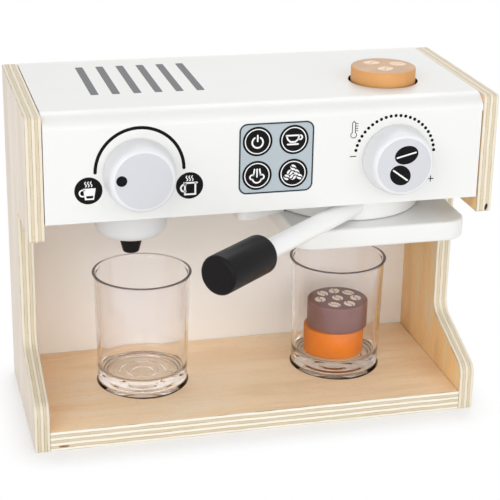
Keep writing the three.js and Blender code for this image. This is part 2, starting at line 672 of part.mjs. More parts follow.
function makeCupsAndDiscs() {
  place(toy, 'left_cup', cup(), clearPlastic, LEFT_CUP_X, CUP_Y, CUP_SEAT);
  place(toy, 'right_cup', cup(), clearPlastic, RIGHT_CUP_X, CUP_Y, CUP_SEAT);
  const lower = CUP_SEAT + CUP_FLOOR + RUN_GAP;
  const upper = lower + COFFEE_THICKNESS + RUN_GAP;
  const shift = COFFEE_SIDE_STEP / 2;
  place(toy, 'coffee_disc_orange', coffeeDisc(), orangePaint, RIGHT_CUP_X - shift, CUP_Y, lower);
  place(toy, 'coffee_disc_brown', coffeeDisc(), brownPaint, RIGHT_CUP_X + shift, CUP_Y, upper);
  place(toy, 'coffee_disc_caramel', coffeeDisc(), caramelPaint, HOLE_X, HOLE_Y, TOP_UNDERSIDE + RUN_GAP);
}

makeSidePanels();
makeBaseBoard();
makeBackPanel();
makeHeadFrontPanel();
makeHeadTopPanel();
makeDiscRest();
makeHeadFloor();
makeGuideBoard();
makeShelf();
makeUnderScrews();
makeDowels();
knobPlaces().forEach(([name, x]) => makeDial(name, x));
makeSpout();
makePortafilter();
makeCupsAndDiscs();

export default toy;
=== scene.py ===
"""Dresses the wooden toy coffee maker: fine meshes, printed marks, finishes, studio and camera.

Metres, +Z up, front towards -Y. The origin is the middle of the underside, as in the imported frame.
"""

import logging
import math
from dataclasses import dataclass, field
from enum import Enum
from functools import cache
from typing import Any, Callable, Iterable, Sequence

import bmesh
import bpy
from mathutils import Matrix, Vector


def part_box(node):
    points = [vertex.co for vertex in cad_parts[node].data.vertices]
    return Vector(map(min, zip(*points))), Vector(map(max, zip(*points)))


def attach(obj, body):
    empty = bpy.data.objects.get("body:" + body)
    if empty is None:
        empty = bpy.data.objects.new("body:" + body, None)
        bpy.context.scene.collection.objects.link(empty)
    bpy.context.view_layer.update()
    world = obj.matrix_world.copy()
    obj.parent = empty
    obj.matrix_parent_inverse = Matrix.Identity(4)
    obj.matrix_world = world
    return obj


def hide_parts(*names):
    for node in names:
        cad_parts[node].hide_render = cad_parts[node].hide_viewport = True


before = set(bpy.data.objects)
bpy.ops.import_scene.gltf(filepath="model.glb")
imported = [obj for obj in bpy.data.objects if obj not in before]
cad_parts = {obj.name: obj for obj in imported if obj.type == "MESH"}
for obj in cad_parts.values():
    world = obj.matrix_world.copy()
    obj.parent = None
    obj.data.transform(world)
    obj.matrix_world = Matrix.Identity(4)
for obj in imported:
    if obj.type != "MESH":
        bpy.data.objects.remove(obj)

logging.basicConfig(level=logging.INFO, format="%(name)s: %(message)s")
log = logging.getLogger("toy")

Point2 = tuple[float, float]
Corner = tuple[float, float, float]
QUARTER_TURN = math.pi / 2
LEVEL = Matrix.Identity(4)
# How far a cutter stands out of what it cuts, and the thickness of one layer of ink.
OVERRUN = 0.002
INK = 0.00004
# A face is flat when its normal runs that much along an axis, and upright when it rises less than that.
FLAT = 0.97
UPRIGHT = 0.1
# Degrees over which a crease stays sharp, over which an edge is eased, and of one step in a printed arc.
CREASE_ANGLE = 35.0
EASED_ANGLE = 40.0
ARC_STEP = 5.0
# The sharpest mitre in a printed line, as the cosine that limits its reach.
SHARPEST_MITRE = 0.5
# How far off its tip a printed bean's halves start, in degrees, and how far its cleft bends.
BEAN_TIP_ANGLE = 12.0
BEAN_BEND_SHARE = 0.28
WHITE = (1.0, 1.0, 1.0, 1.0)
# The span that a noise pattern seldom leaves.
NOISE_LOW = 0.3
NOISE_HIGH = 0.7
# A Mix node repeats the names of its sockets, so those for colours go by number.
MIX_SHARE = 0
MIX_UNDER = 6
MIX_OVER = 7
MIX_COLOUR = 2


class Axis(Enum):
    """The three axes of the frame, by their place in a vector."""

    X = 0
    Y = 1
    Z = 2


class Side(Enum):
    """Left or right as seen from the front, with its sign along X."""

    LEFT = -1
    RIGHT = 1

    @property
    def word(self) -> str:
        """The side's name as it stands in the names of nodes."""
        return self.name.lower()


class Grain(Enum):
    """Which way the wood fibres run on a face."""

    ACROSS = Axis.X
    UPRIGHT = Axis.Z


def linear(hex_colour: str) -> tuple[float, float, float, float]:
    """Turns an sRGB hex value into a linear colour.

    Args:
        hex_colour: six hex digits.

    Returns:
        Red, green, blue and alpha, linear.
    """
    channels = [int(hex_colour[i:i + 2], 16) / 255 for i in (0, 2, 4)]
    lin = [c / 12.92 if c <= 0.04045 else ((c + 0.055) / 1.055) ** 2.4 for c in channels]
    return (lin[0], lin[1], lin[2], 1.0)


def socket_of(source: bpy.types.Node | bpy.types.NodeSocket) -> bpy.types.NodeSocket:
    """A socket as it is, or a node's first output."""
    return source.outputs[0] if isinstance(source, bpy.types.Node) else source


def add_node(tree: bpy.types.NodeTree, kind: str, inputs: dict[Any, Any] | None = None,
             **settings: Any) -> bpy.types.Node:
    """Adds a shader node with its settings and links.

    Args:
        tree: the node tree that gets the node.
        kind: the node's type name after ShaderNode.
        inputs: for each input's name or number, a value, or the socket or node that feeds it.
        settings: the node's own attributes.

    Returns:
        The new node.
    """
    node = tree.nodes.new("ShaderNode" + kind)
    for name, value in settings.items():
        setattr(node, name, value)
    for key, value in (inputs or {}).items():
        if isinstance(value, (bpy.types.Node, bpy.types.NodeSocket)):
            tree.links.new(socket_of(value), node.inputs[key])
        else:
            node.inputs[key].default_value = value
    return node


@dataclass(frozen=True)
class Ramp:
    """How strongly a pattern shows: where it starts and is full, and what it gives there."""

    start: float
    full: float
    most: float = 1.0
    least: float = 0.0

    def over(self, pattern: Any) -> dict[str, Any]:
        """The inputs of a Map Range node that follows a pattern along this ramp."""
        return {"Value": pattern, "From Min": self.start, "From Max": self.full,
                "To Min": self.least, "To Max": self.most}


def cloudy(tree: bpy.types.NodeTree, sizes: Sequence[float], detail: float = 2.0,
           swirl: float = 0.0) -> bpy.types.Node:
    """A noise pattern in real sizes, tied to the toy's own coordinates.

    Args:
        tree: the node tree.
        sizes: the pattern's size in metres along X, Y and Z.
        detail: how many finer layers lie on it.
        swirl: how much it is distorted.

    Returns:
        The noise node.
    """
    own = add_node(tree, "TexCoord").outputs["Object"]
    place = add_node(tree, "Mapping", {"Vector": own, "Scale": [1 / size for size in sizes]})
    return add_node(tree, "TexNoise", {"Vector": place, "Scale": 1.0, "Detail": detail, "Distortion": swirl})


def laid_over(tree: bpy.types.NodeTree, under: Any, over: Any, pattern: Any,
              ramp: Ramp) -> bpy.types.NodeSocket:
    """Lays a colour over another one where a pattern is strong.

    Args:
        tree: the node tree.
        under: the colour below, as a value or a socket.
        over: the colour on top, as a value or a socket.
        pattern: what says where the upper colour lies.
        ramp: how the pattern does so.

    Returns:
        The socket with the mixed colour.
    """
    share = add_node(tree, "MapRange", ramp.over(pattern), interpolation_type="SMOOTHSTEP")
    inputs = {MIX_SHARE: share, MIX_UNDER: under, MIX_OVER: over}
    return add_node(tree, "Mix", inputs, data_type="RGBA").outputs[MIX_COLOUR]


@dataclass(frozen=True)
class Finish:
    """A surface finish: what its material is and how it answers light."""

    name: str
    colour: str
    roughness: float = 0.5
    ior: float = 1.5
    metallic: float = 0.0
    transmission: float = 0.0

    def material(self) -> bpy.types.Material:
        """Makes the material once and hands out the same one afterwards.

        Returns:
            The finish's Blender material.
        """
        found = bpy.data.materials.get(self.name)
        if found:
            return found
        made = bpy.data.materials.new(self.name)
        made.use_nodes = True
        made.diffuse_color = linear(self.colour)
        tree = made.node_tree
        tree.nodes.clear()
        shader = add_node(tree, "BsdfPrincipled", {
            "Base Color": linear(self.colour),
            "Roughness": self.roughness,
            "IOR": self.ior,
            "Metallic": self.metallic,
            "Transmission Weight": self.transmission,
        })
        for name, source in self.pattern(tree).items():
            tree.links.new(socket_of(source), shader.inputs[name])
        add_node(tree, "OutputMaterial", {"Surface": shader})
        return made

    def pattern(self, tree: bpy.types.NodeTree) -> dict[str, Any]:
        """The nodes that feed the shader's inputs; each kind of finish has its own."""
        return {}

    def uneven(self, smoother: float, rougher: float) -> Ramp:
        """The ramp of a roughness that strays that far below and above the finish's own."""
        return Ramp(NOISE_LOW, NOISE_HIGH, self.roughness + rougher, self.roughness - smoother)


@dataclass(frozen=True)
class Lacquer(Finish):
    """Sprayed lacquer on sanded board: satin, with a fine orange peel and hardly any tone of its own."""

    # Orange peel is 1 to 2 mm across; the tone drifts over some centimetres.
    peel: float = 0.0014
    peel_depth: float = 0.00002
    peel_strength: float = 0.5
    tone: float = 0.985
    tone_size: float = 0.05
    tone_ramp: Ramp = Ramp(0.35, 0.65)
    wiped: float = 0.05

    def pattern(self, tree: bpy.types.NodeTree) -> dict[str, Any]:
        """Adds the orange peel, a slow drift of tone and patches that are wiped a little smoother.

        Args:
            tree: the material's node tree.

        Returns:
            For each of the shader's inputs that is driven, what feeds it.
        """
        drift = cloudy(tree, [self.tone_size] * 3)
        peel = cloudy(tree, [self.peel] * 3, detail=1.0)
        base = linear(self.colour)
        darker = (*(channel * self.tone for channel in base[:3]), 1.0)
        return {
            "Base Color": laid_over(tree, base, darker, drift, self.tone_ramp),
            "Roughness": add_node(tree, "MapRange", self.uneven(self.wiped, self.wiped).over(drift),
                                  interpolation_type="SMOOTHSTEP"),
            "Normal": add_node(tree, "Bump", {
                "Height": peel, "Distance": self.peel_depth, "Strength": self.peel_strength,
            }),
        }


@dataclass(frozen=True)
class BirchVeneer(Finish):
    """Rotary-cut birch face veneer, oiled: warm and calm, with long fibres, slow flames and fine flecks."""

    grain: Grain = Grain.ACROSS
    dark: str = "C99C68"
    pale: str = "F0DCB8"
    # Birch fibres are under 0.1 mm wide: they are drawn as bundles of 0.6 mm, the finest that shows.
    fibre_width: float = 0.0006
    fibre_length: float = 0.028
    fibre_depth: float = 0.00004
    fibre_strength: float = 0.4
    fibre_ramp: Ramp = Ramp(0.45, 0.8, 0.3)
    # Flames are bands of about 20 mm, where the lathe cut through the year rings; flecks are under 1 mm wide.
    flame_width: float = 0.02
    flame_length: float = 0.11
    flame_swirl: float = 0.8
    dark_flame_ramp: Ramp = Ramp(0.46, 0.7, 0.3)
    pale_flame_ramp: Ramp = Ramp(0.5, 0.3, 0.7)
    fleck_width: float = 0.0005
    fleck_length: float = 0.0045
    fleck_ramp: Ramp = Ramp(0.68, 0.78, 0.4)
    smoother: float = 0.06
    rougher: float = 0.08

    def sizes(self, width: float, length: float) -> list[float]:
        """Sizes along X, Y and Z of what is that wide across the grain and that long along it."""
        return [length if axis is self.grain.value else width for axis in Axis]

    def pattern(self, tree: bpy.types.NodeTree) -> dict[str, Any]:
        """Layers flame, fibres and flecks into the colour, and fibres into the bump.

        Args:
            tree: the material's node tree.

        Returns:
            For each of the shader's inputs that is driven, what feeds it.
        """
        flame = cloudy(tree, self.sizes(self.flame_width, self.flame_length), detail=3.0,
                       swirl=self.flame_swirl)
        fibre = cloudy(tree, self.sizes(self.fibre_width, self.fibre_length))
        fleck = cloudy(tree, self.sizes(self.fleck_width, self.fleck_length), detail=0.0)
        colour: Any = linear(self.colour)
        for shade, source, ramp in (
            (self.dark, flame, self.dark_flame_ramp), (self.pale, flame, self.pale_flame_ramp),
            (self.dark, fibre, self.fibre_ramp), (self.dark, fleck, self.fleck_ramp),
        ):
            colour = laid_over(tree, colour, linear(shade), source, ramp)
        return {
            "Base Color": colour,
            "Roughness": add_node(tree, "MapRange", self.uneven(self.smoother, self.rougher).over(fibre),
                                  interpolation_type="SMOOTHSTEP"),
            "Normal": add_node(tree, "Bump", {
                "Height": fibre, "Distance": self.fibre_depth, "Strength": self.fibre_strength,
            }),
        }


@dataclass(frozen=True)
class PlyEdge(Finish):
    """Cut edge of birch plywood: pale long-grain plies and tan end-grain ones, with thin dark glue lines."""

    axis: Axis = Axis.X
    start: float = 0.0
    ply: float = 0.0018
    end_grain: str = "DBCDB1"
    glue: str = "8C7552"
    # Pressed plies waver by up to 0.7 mm, about once in 22 mm.
    waver: float = 0.0007
    waver_length: float = 1 / 45
    # The open pores are about 0.1 mm: they are drawn as streaks of 0.4 mm, the finest that shows.
    streak: float = 0.0004
    streak_length: float = 0.012
    streak_ramp: Ramp = Ramp(0.45, 0.75, 0.35)
    pore_ramp: Ramp = Ramp(0.45, 0.75, 0.3)
    pore_depth: float = 0.00005
    pore_strength: float = 0.4
    glue_share: float = 0.16
    glue_ramp: Ramp = Ramp(0.35, 0.6, 0.25, 0.85)

    def pattern(self, tree: bpy.types.NodeTree) -> dict[str, Any]:
        """Counts plies along the board's thickness and gives every other one end grain.

        Args:
            tree: the material's node tree.

        Returns:
            For each of the shader's inputs that is driven, what feeds it.
        """
        wave = cloudy(tree, [self.waver_length] * 3)
        streak = cloudy(tree, [self.streak if axis is self.axis else self.streak_length for axis in Axis])
        pore = cloudy(tree, [self.streak] * 3, detail=1.0)
        waver = add_node(tree, "Math", {0: wave, 1: self.waver}, operation="MULTIPLY")
        place = add_node(tree, "SeparateXYZ", {"Vector": add_node(tree, "TexCoord").outputs["Object"]})
        count: Any = place.outputs[self.axis.value]
        start = self.start + self.waver / 2
        for operation, operand in (("ADD", waver), ("SUBTRACT", start), ("DIVIDE", self.ply)):
            count = add_node(tree, "Math", {0: count, 1: operand}, operation=operation)
        floor = add_node(tree, "Math", {0: count}, operation="FLOOR")
        odd = add_node(tree, "Math", {0: floor, 1: 2.0}, operation="FLOORED_MODULO")
        long_ply = laid_over(tree, linear(self.colour), linear(self.end_grain), streak, self.streak_ramp)
        end_ply = laid_over(tree, linear(self.end_grain), linear(self.glue), pore, self.pore_ramp)
        plies = add_node(tree, "Mix", {
            MIX_SHARE: odd, MIX_UNDER: long_ply, MIX_OVER: end_ply,
        }, data_type="RGBA")
        swing = add_node(tree, "Math", {0: count, 1: 1.0}, operation="PINGPONG")
        joints = [
            add_node(tree, "MapRange", ramp.over(swing), interpolation_type="SMOOTHSTEP")
            for ramp in (Ramp(self.glue_share, 0.0), Ramp(1.0 - self.glue_share, 1.0))
        ]
        line = add_node(tree, "Math", {0: joints[0], 1: joints[1]}, operation="MAXIMUM")
        strength = add_node(tree, "MapRange", self.glue_ramp.over(streak), interpolation_type="SMOOTHSTEP")
        faint = add_node(tree, "Math", {0: line, 1: strength}, operation="MULTIPLY")
        glued = add_node(tree, "Mix", {
            MIX_SHARE: faint, MIX_UNDER: plies.outputs[MIX_COLOUR], MIX_OVER: linear(self.glue),
        }, data_type="RGBA")
        return {
            "Base Color": glued.outputs[MIX_COLOUR],
            "Normal": add_node(tree, "Bump", {
                "Height": pore, "Distance": self.pore_depth, "Strength": self.pore_strength,
            }),
        }


@dataclass(frozen=True)
class PrintInk(Finish):
    """Screen-printed ink: flat and dense, with a faint mottle where the screen's mesh let less through."""

    # The screen's mesh is about 0.1 mm: its mottle is drawn at 0.8 mm, the finest that shows.
    mottle: float = 0.0008
    mottle_ramp: Ramp = Ramp(0.4, 0.75)
    thin: float = 0.036

    def pattern(self, tree: bpy.types.NodeTree) -> dict[str, Any]:
        """Lets the white under the ink show through a little in spots.

        Args:
            tree: the material's node tree.

        Returns:
            For each of the shader's inputs that is driven, what feeds it.
        """
        base = linear(self.colour)
        lifted = (*(channel + (1 - channel) * self.thin for channel in base[:3]), 1.0)
        spots = cloudy(tree, [self.mottle] * 3)
        return {"Base Color": laid_over(tree, base, lifted, spots, self.mottle_ramp)}


@dataclass(frozen=True)
class ClearStyrene(Finish):
    """Clear polystyrene, injection moulded: water clear with a warm cast, glossy, with slow flow marks."""

    transmission: float = 1.0
    # Flow marks lie about 12 mm apart.
    flow: float = 0.012
    flow_depth: float = 0.00004
    flow_strength: float = 0.05

    def pattern(self, tree: bpy.types.NodeTree) -> dict[str, Any]:
        """Adds the flow marks.

        Args:
            tree: the material's node tree.

        Returns:
            For each of the shader's inputs that is driven, what feeds it.
        """
        marks = cloudy(tree, [self.flow] * 3, detail=0.0)
        return {"Normal": add_node(tree, "Bump", {
            "Height": marks, "Distance": self.flow_depth, "Strength": self.flow_strength,
        })}


@dataclass(frozen=True)
class ZincSteel(Finish):
    """Zinc-plated steel screw: bright grey metal, cold headed, with a slightly cloudy plating."""

    metallic: float = 1.0
    # The plating's clouds are about 1 mm across.
    cloud: float = 0.0012
    cloudiness: float = 0.1

    def pattern(self, tree: bpy.types.NodeTree) -> dict[str, Any]:
        """Clouds the plating.

        Args:
            tree: the material's node tree.

        Returns:
            For each of the shader's inputs that is driven, what feeds it.
        """
        clouds = cloudy(tree, [self.cloud] * 3, detail=3.0)
        ramp = self.uneven(self.cloudiness, self.cloudiness)
        return {"Roughness": add_node(tree, "MapRange", ramp.over(clouds), interpolation_type="SMOOTHSTEP")}


# Sanded board under sprayed lacquer: the eye reads an even satin white with soft, wide highlights.
WHITE_LACQUER = Lacquer("white_lacquer_on_board", "EAEAE8", roughness=0.38)
# The same white on the turned pieces, a touch brighter: painted light that lifts the portafilter out of the
# shade under the head, with tighter highlights on the rounds.
TURNED_LACQUER = Lacquer("white_lacquer_on_turned_wood", "F6F6F5", roughness=0.34)
# The bowl's white is painted a step greyer than the boards round it: painted shade of the head that it hangs
# under.
BOWL_LACQUER = Lacquer("white_lacquer_with_painted_shade_on_bowl", "DDDDDE", roughness=0.36)
# White foil on thin fibreboard: creamier than the lacquer, darkened a little as painted shade of the bay, and
# warmed as a painted reflection of the birch round it.
BACK_FOIL = Lacquer("white_foil_with_painted_bay_light", "F2EEE9", roughness=0.5, peel=0.0025)
# Turned wood under grey lacquer: a shade cooler and darker than the boards, with one soft glow on the rim.
DIAL_LACQUER = Lacquer("pale_grey_lacquer_on_turned_wood", "E6E7EA", roughness=0.4)
# The dial's face is painted a step darker than the rim round it: the rim and face are lit and shaded copies
# of one grey, with painted shade on the face beside the lit rim.
DIAL_FACE = Lacquer("grey_lacquer_with_painted_shade_on_dial_face", "CFD0D5", roughness=0.45)
# Turned wood under black lacquer: near black, with a dull highlight along the round that shows its shape.
BLACK_LACQUER = Lacquer("black_lacquer_on_turned_wood", "120F10", roughness=0.46, ior=1.24, tone=0.85)
# Opaque paint rolled on wood: a strong caramel, slightly uneven, with no clear reflection.
CARAMEL_PAINT = Lacquer("caramel_paint_on_wood", "DEA05E", roughness=0.5, tone=0.93, tone_size=0.012)
# The same disc's top under a thinner, greyer coat: a dusty beige beside its warmer rim.
CARAMEL_TOP = Lacquer("beige_paint_on_wood", "C8A078", roughness=0.5, tone=0.94, tone_size=0.012)
# Rolled brown paint: a dull cocoa that looks cooler through the clear cup.
BROWN_PAINT = Lacquer("brown_paint_on_wood", "784F49", roughness=0.5, tone=0.9, tone_size=0.012)
# Rolled orange paint: the strongest colour of the toy, matt enough to stay orange where it is lit.
ORANGE_PAINT = Lacquer("orange_paint_on_wood", "DA7200", roughness=0.5, ior=1.35, tone=0.9, tone_size=0.012)
# Rotary-cut birch veneer, oiled: honey coloured where it is lit from the bay, with long soft grain lines.
BASE_VENEER = BirchVeneer("birch_veneer_grain_across", "FFE2BC", roughness=0.45, dark="DDB083", pale="FFEACE")
# The same veneer standing upright in the bay: deeper honey, because the light only grazes it.
INNER_VENEER = BirchVeneer("birch_veneer_inner_sides", "FBD094", roughness=0.5, grain=Grain.UPRIGHT)
# The outer sides are painted paler, with the grain only just there: painted light, where the lamps fall full
# on them and glare.
OUTER_VENEER = BirchVeneer("birch_veneer_outer_sides_painted_lit", "ECE0D2", roughness=0.55, grain=Grain.UPRIGHT,
                           dark="D6C2AA", pale="F5EEE4")
# Turned beech: pinker and darker than the birch, with short flecks.
BEECH = BirchVeneer("beech_dowel_turned", "CFA878", roughness=0.65, dark="A87F50")
# Painted shade: an almost black, matt layer laid in the gaps round the cups and the caramel disc, where only
# deep shade falls, seen as a thin dark ring.
GAP_SHADE = Lacquer("painted_shade_in_gaps", "2E221C", roughness=0.8, tone=0.7, tone_size=0.003)
# Painted shade on the recess walls below that ring: a mid brown, so the clear foot in front of it stays
# light.
RECESS_WALL_SHADE = Lacquer("painted_shade_on_recess_walls", "A5825C", roughness=0.75, tone=0.85, tone_size=0.003)
# Clear moulded styrene: seen by its bright rims and the bent picture of what stands behind it.
CLEAR_STYRENE = ClearStyrene("clear_polystyrene_moulded", "FCFBFC", roughness=0.02, ior=1.38)
# The cup's lip: a mauve-grey, partly clear band of painted reflection, standing in for what the clear rim
# bends and mirrors, so it reads as a thin line.
LIP_REFLECTION_STYRENE = ClearStyrene("polystyrene_lip_with_painted_reflection", "BCAEB4", roughness=0.1, ior=1.38,
                            transmission=0.7)
# Zinc plating: bright cool grey metal with cloudy, broken reflections.
ZINC = ZincSteel("zinc_plated_steel", "C9CCD0", roughness=0.32)
# Black screen ink: dense and matt, so it stays black beside the satin lacquer under it.
BLACK_INK = PrintInk("black_screen_ink", "0D0B0E", roughness=0.6, ior=1.2, thin=0.006)
# White screen ink: a clean flat white that reads as lines on the black.
WHITE_INK = PrintInk("white_screen_ink", "F2F2F2", roughness=0.55)
# Grey screen ink: a flat mid grey, which makes the stripes look like slots.
GREY_INK = PrintInk("grey_screen_ink", "5F6064", roughness=0.55, ior=1.4)
# Blue-grey screen ink: a cool pale field that sets the buttons off from the white board.
PANEL_INK = PrintInk("blue_grey_screen_ink", "AEBAC0", roughness=0.5)
# Dark slate screen ink: one thin line, bluer than the black beside it.
LINE_INK = PrintInk("dark_slate_screen_ink", "1E262B", roughness=0.6, ior=1.25)
# Cream screen ink: pale beans that stand out on the brown disc through the cup.
BEAN_INK = PrintInk("cream_screen_ink", "E8D9C6", roughness=0.55)
# Pale beige screen ink: beans only a few shades lighter than the disc under them.
PALE_BEAN_INK = PrintInk("pale_beige_screen_ink", "F0D6BA", roughness=0.55)
# A knot in the plies: small dense dark wood that takes no light.
KNOT = PrintInk("dark_knot_in_birch", "2A1C14", roughness=0.7, ior=1.35)
# A knot's outer wood: a short brown streak, softer than the dark one.
BROWN_KNOT = PrintInk("brown_knot_in_birch", "8A6242", roughness=0.7)


@cache
def corners_of(name: str) -> tuple[Vector, Vector]:
    """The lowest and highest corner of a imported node, measured once."""
    low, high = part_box(name)
    return Vector(low), Vector(high)


@dataclass(frozen=True)
class NodeBox:
    """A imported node's box at rest."""

    name: str

    @property
    def low(self) -> Vector:
        """The lowest corner."""
        return corners_of(self.name)[0]

    @property
    def high(self) -> Vector:
        """The highest corner."""
        return corners_of(self.name)[1]

    @property
    def middle(self) -> Vector:
        """The middle."""
        return (self.low + self.high) / 2

    @property
    def size(self) -> Vector:
        """The lengths along X, Y and Z."""
        return self.high - self.low

    @property
    def foot(self) -> Vector:
        """The middle of the underside."""
        return Vector((self.middle.x, self.middle.y, self.low.z))


def upright(at: Vector) -> Matrix:
    """A plane that faces up at a point."""
    return Matrix.Translation(at)


def facing_front(at: Vector) -> Matrix:
    """A plane that faces the front at a point: its Y is up and its height runs towards the viewer."""
    return Matrix.Translation(at) @ Matrix.Rotation(QUARTER_TURN, 4, "X")


def facing_side(at: Vector) -> Matrix:
    """A plane of Y and Z at a point, with its height along X."""
    return Matrix.Translation(at) @ Matrix(((0, 0, 1, 0), (1, 0, 0, 0), (0, 1, 0, 0), (0, 0, 0, 1)))


def circle(x: float, y: float, radius: float, steps: int) -> list[Point2]:
    """The points of a circle round a middle."""
    turns = [2 * math.pi * k / steps for k in range(steps)]
    return [(x + radius * math.cos(turn), y + radius * math.sin(turn)) for turn in turns]


def spun(points: Sequence[Point2], x: float, y: float, turns: Sequence[float]) -> list[Point2]:
    """Points turned round the origin and then moved.

    Args:
        points: the points.
        x: how far they move across.
        y: how far they move upwards.
        turns: each point's own turn in radians.

    Returns:
        The moved points.
    """
    return [
        (x + u * math.cos(turn) - v * math.sin(turn), y + u * math.sin(turn) + v * math.cos(turn))
        for (u, v), turn in zip(points, turns)
    ]


def rounded(corners: Sequence[Corner], closed: bool = True, steps: int = 8) -> list[Point2]:
    """An outline through corners, each rounded by its radius.

    Args:
        corners: x, y and radius of each corner.
        closed: whether the last corner joins the first.
        steps: segments in a quarter turn.

    Returns:
        The points of the outline.
    """
    points: list[Point2] = []
    count = len(corners)
    for i, (x, y, radius) in enumerate(corners):
        corner = Vector((x, y))
        if radius == 0 or (not closed and i in (0, count - 1)):
            points.append((x, y))
            continue
        before = (Vector(corners[i - 1][:2]) - corner).normalized()
        after = (Vector(corners[(i + 1) % count][:2]) - corner).normalized()
        half = before.angle(after) / 2
        middle = corner + (before + after).normalized() * (radius / math.sin(half))
        start = corner + before * (radius / math.tan(half)) - middle
        end = corner + after * (radius / math.tan(half)) - middle
        turn = start.angle_signed(end)
        parts = max(2, round(steps * abs(turn) / QUARTER_TURN))
        turns = [-turn * k / parts for k in range(parts + 1)]
        points += spun([tuple(start)] * len(turns), middle.x, middle.y, turns)
    return points


def oblong(x: Point2, y: Point2, radius: float = 0.0) -> list[Point2]:
    """The outline of a box between two places across and two upwards, with round corners."""
    return rounded([(x[0], y[0], radius), (x[1], y[0], radius), (x[1], y[1], radius), (x[0], y[1], radius)])


def smooth(mesh: bpy.types.Mesh) -> None:
    """Shades a mesh smooth but for its creases."""
    mesh.polygons.foreach_set("use_smooth", [True] * len(mesh.polygons))
    mesh.set_sharp_from_angle(angle=math.radians(CREASE_ANGLE))


def finish_mesh(name: str, build: bmesh.types.BMesh) -> bpy.types.Object:
    """Turns a bmesh into an object with smooth faces and sharp creases.

    Args:
        name: the object's name.
        build: the mesh, which is freed.

    Returns:
        The new object.
    """
    bmesh.ops.recalc_face_normals(build, faces=build.faces)
    mesh = bpy.data.meshes.new(name)
    build.to_mesh(mesh)
    build.free()
    smooth(mesh)
    piece = bpy.data.objects.new(name, mesh)
    bpy.context.scene.collection.objects.link(piece)
    return piece


def extruded(build: bmesh.types.BMesh, outline: Sequence[Point2], low: float, high: float,
             place: Matrix) -> None:
    """Adds a flat outline as a closed plate.

    Args:
        build: the mesh that gets the plate.
        outline: its points, in the plate's own plane.
        low: the lower face's height over that plane.
        high: the upper face's height.
        place: where the plane lies.
    """
    rings = [[build.verts.new(place @ Vector((x, y, z))) for x, y in outline] for z in (low, high)]
    build.faces.new(list(reversed(rings[0])))
    build.faces.new(rings[1])
    count = len(outline)
    for i in range(count):
        k = (i + 1) % count
        build.faces.new([rings[0][i], rings[0][k], rings[1][k], rings[1][i]])


def worked(piece: bpy.types.Object, cutters: Sequence[bpy.types.Object] = (), arris: float = 0.0,
           segments: int = 3) -> bpy.types.Object:
    """Cuts a piece, eases its edges and keeps the result as its mesh.

    Args:
        piece: the piece.
        cutters: solids to take away, which are deleted afterwards.
        arris: width of the eased edge, 0 for none.
        segments: faces across the eased edge.

    Returns:
        The same piece.
    """
    for cutter in cutters:
        cut = piece.modifiers.new("cut", "BOOLEAN")
        cut.object = cutter
        cut.solver = "EXACT"
    if arris:
        ease = piece.modifiers.new("ease", "BEVEL")
        ease.width = arris
        ease.segments = segments
        ease.limit_method = "ANGLE"
        ease.angle_limit = math.radians(EASED_ANGLE)
        ease.use_clamp_overlap = True
    graph = bpy.context.evaluated_depsgraph_get()
    mesh = bpy.data.meshes.new_from_object(piece.evaluated_get(graph))
    piece.modifiers.clear()
    old = piece.data
    piece.data = mesh
    mesh.name = piece.name
    bpy.data.meshes.remove(old)
    for cutter in cutters:
        bpy.data.objects.remove(cutter)
    smooth(mesh)
    return piece


def board(name: str, outline: Sequence[Point2], low: float, high: float, place: Matrix = LEVEL,
          cutters: Sequence[bpy.types.Object] = (), arris: float = 0.0,
          segments: int = 3) -> bpy.types.Object:
    """A board sawn to an outline, with its cutouts and eased edges.

    Args:
        name: the object's name.
        outline: its points, in the board's own plane.
        low: the lower face's height over that plane.
        high: the upper face's height.
        place: where the plane lies.
        cutters: solids to take away.
        arris: width of the eased edges, 0 for none.
        segments: faces across an eased edge.

    Returns:
        The new object.
    """
    build = bmesh.new()
    extruded(build, outline, low, high, place)
    piece = finish_mesh(name, build)
    return worked(piece, cutters, arris, segments) if cutters or arris else piece


def turned(name: str, corners: Sequence[Corner], place: Matrix, steps: int = 128,
           round_steps: int = 8) -> bpy.types.Object:
    """A solid turned about Z, whose section closes on the axis at both ends.

    Args:
        name: the object's name.
        corners: radius, height and rounding of each corner, from the lower end to the upper one.
        place: where the axis stands.
        steps: segments round the axis.
        round_steps: segments in a quarter turn of a rounding.

    Returns:
        The new object.
    """
    section = [(0.0, corners[0][1], 0.0), *corners]
    if corners[-1][0] > 0:
        section.append((0.0, corners[-1][1], 0.0))
    build = bmesh.new()
    rings: list[list[bmesh.types.BMVert]] = []
    for radius, height in rounded(section, closed=False, steps=round_steps):
        rings.append([
            build.verts.new(place @ Vector((x, y, height)))
            for x, y in circle(0.0, 0.0, radius, steps)[:1 if radius == 0 else steps]
        ])
    for lower, upper in zip(rings, rings[1:]):
        for k in range(steps):
            n = (k + 1) % steps
            ends = ((lower, k), (lower, n), (upper, n), (upper, k))
            unique = list(dict.fromkeys(ring[i % len(ring)] for ring, i in ends))
            if len(unique) > 2:
                build.faces.new(unique)
    return finish_mesh(name, build)


def hole(at: Vector, radius: float, depth: float) -> bpy.types.Object:
    """A cutter for a round hole right through a board.

    Args:
        at: the hole's middle on the board's underside.
        radius: the hole's radius.
        depth: the board's thickness.

    Returns:
        The cutter.
    """
    return turned("hole", [(radius, -OVERRUN, 0.0), (radius, depth + OVERRUN, 0.0)], upright(at))


def dress(piece: bpy.types.Object, *finishes: Finish) -> bpy.types.Object:
    """Gives a piece its finishes, one for each material slot.

    Args:
        piece: the piece.
        finishes: its finishes, of which all faces get the first for now.

    Returns:
        The same piece.
    """
    piece.data.materials.clear()
    for finish in finishes:
        piece.data.materials.append(finish.material())
    return piece


def give_faces(piece: bpy.types.Object, number: int, chosen: Callable[[bpy.types.MeshPolygon], bool]) -> None:
    """Gives some of a piece's faces another of its finishes.

    Args:
        piece: the dressed piece.
        number: the finish's place among the piece's finishes.
        chosen: tells for a face whether it gets that finish.
    """
    for polygon in piece.data.polygons:
        if chosen(polygon):
            polygon.material_index = number


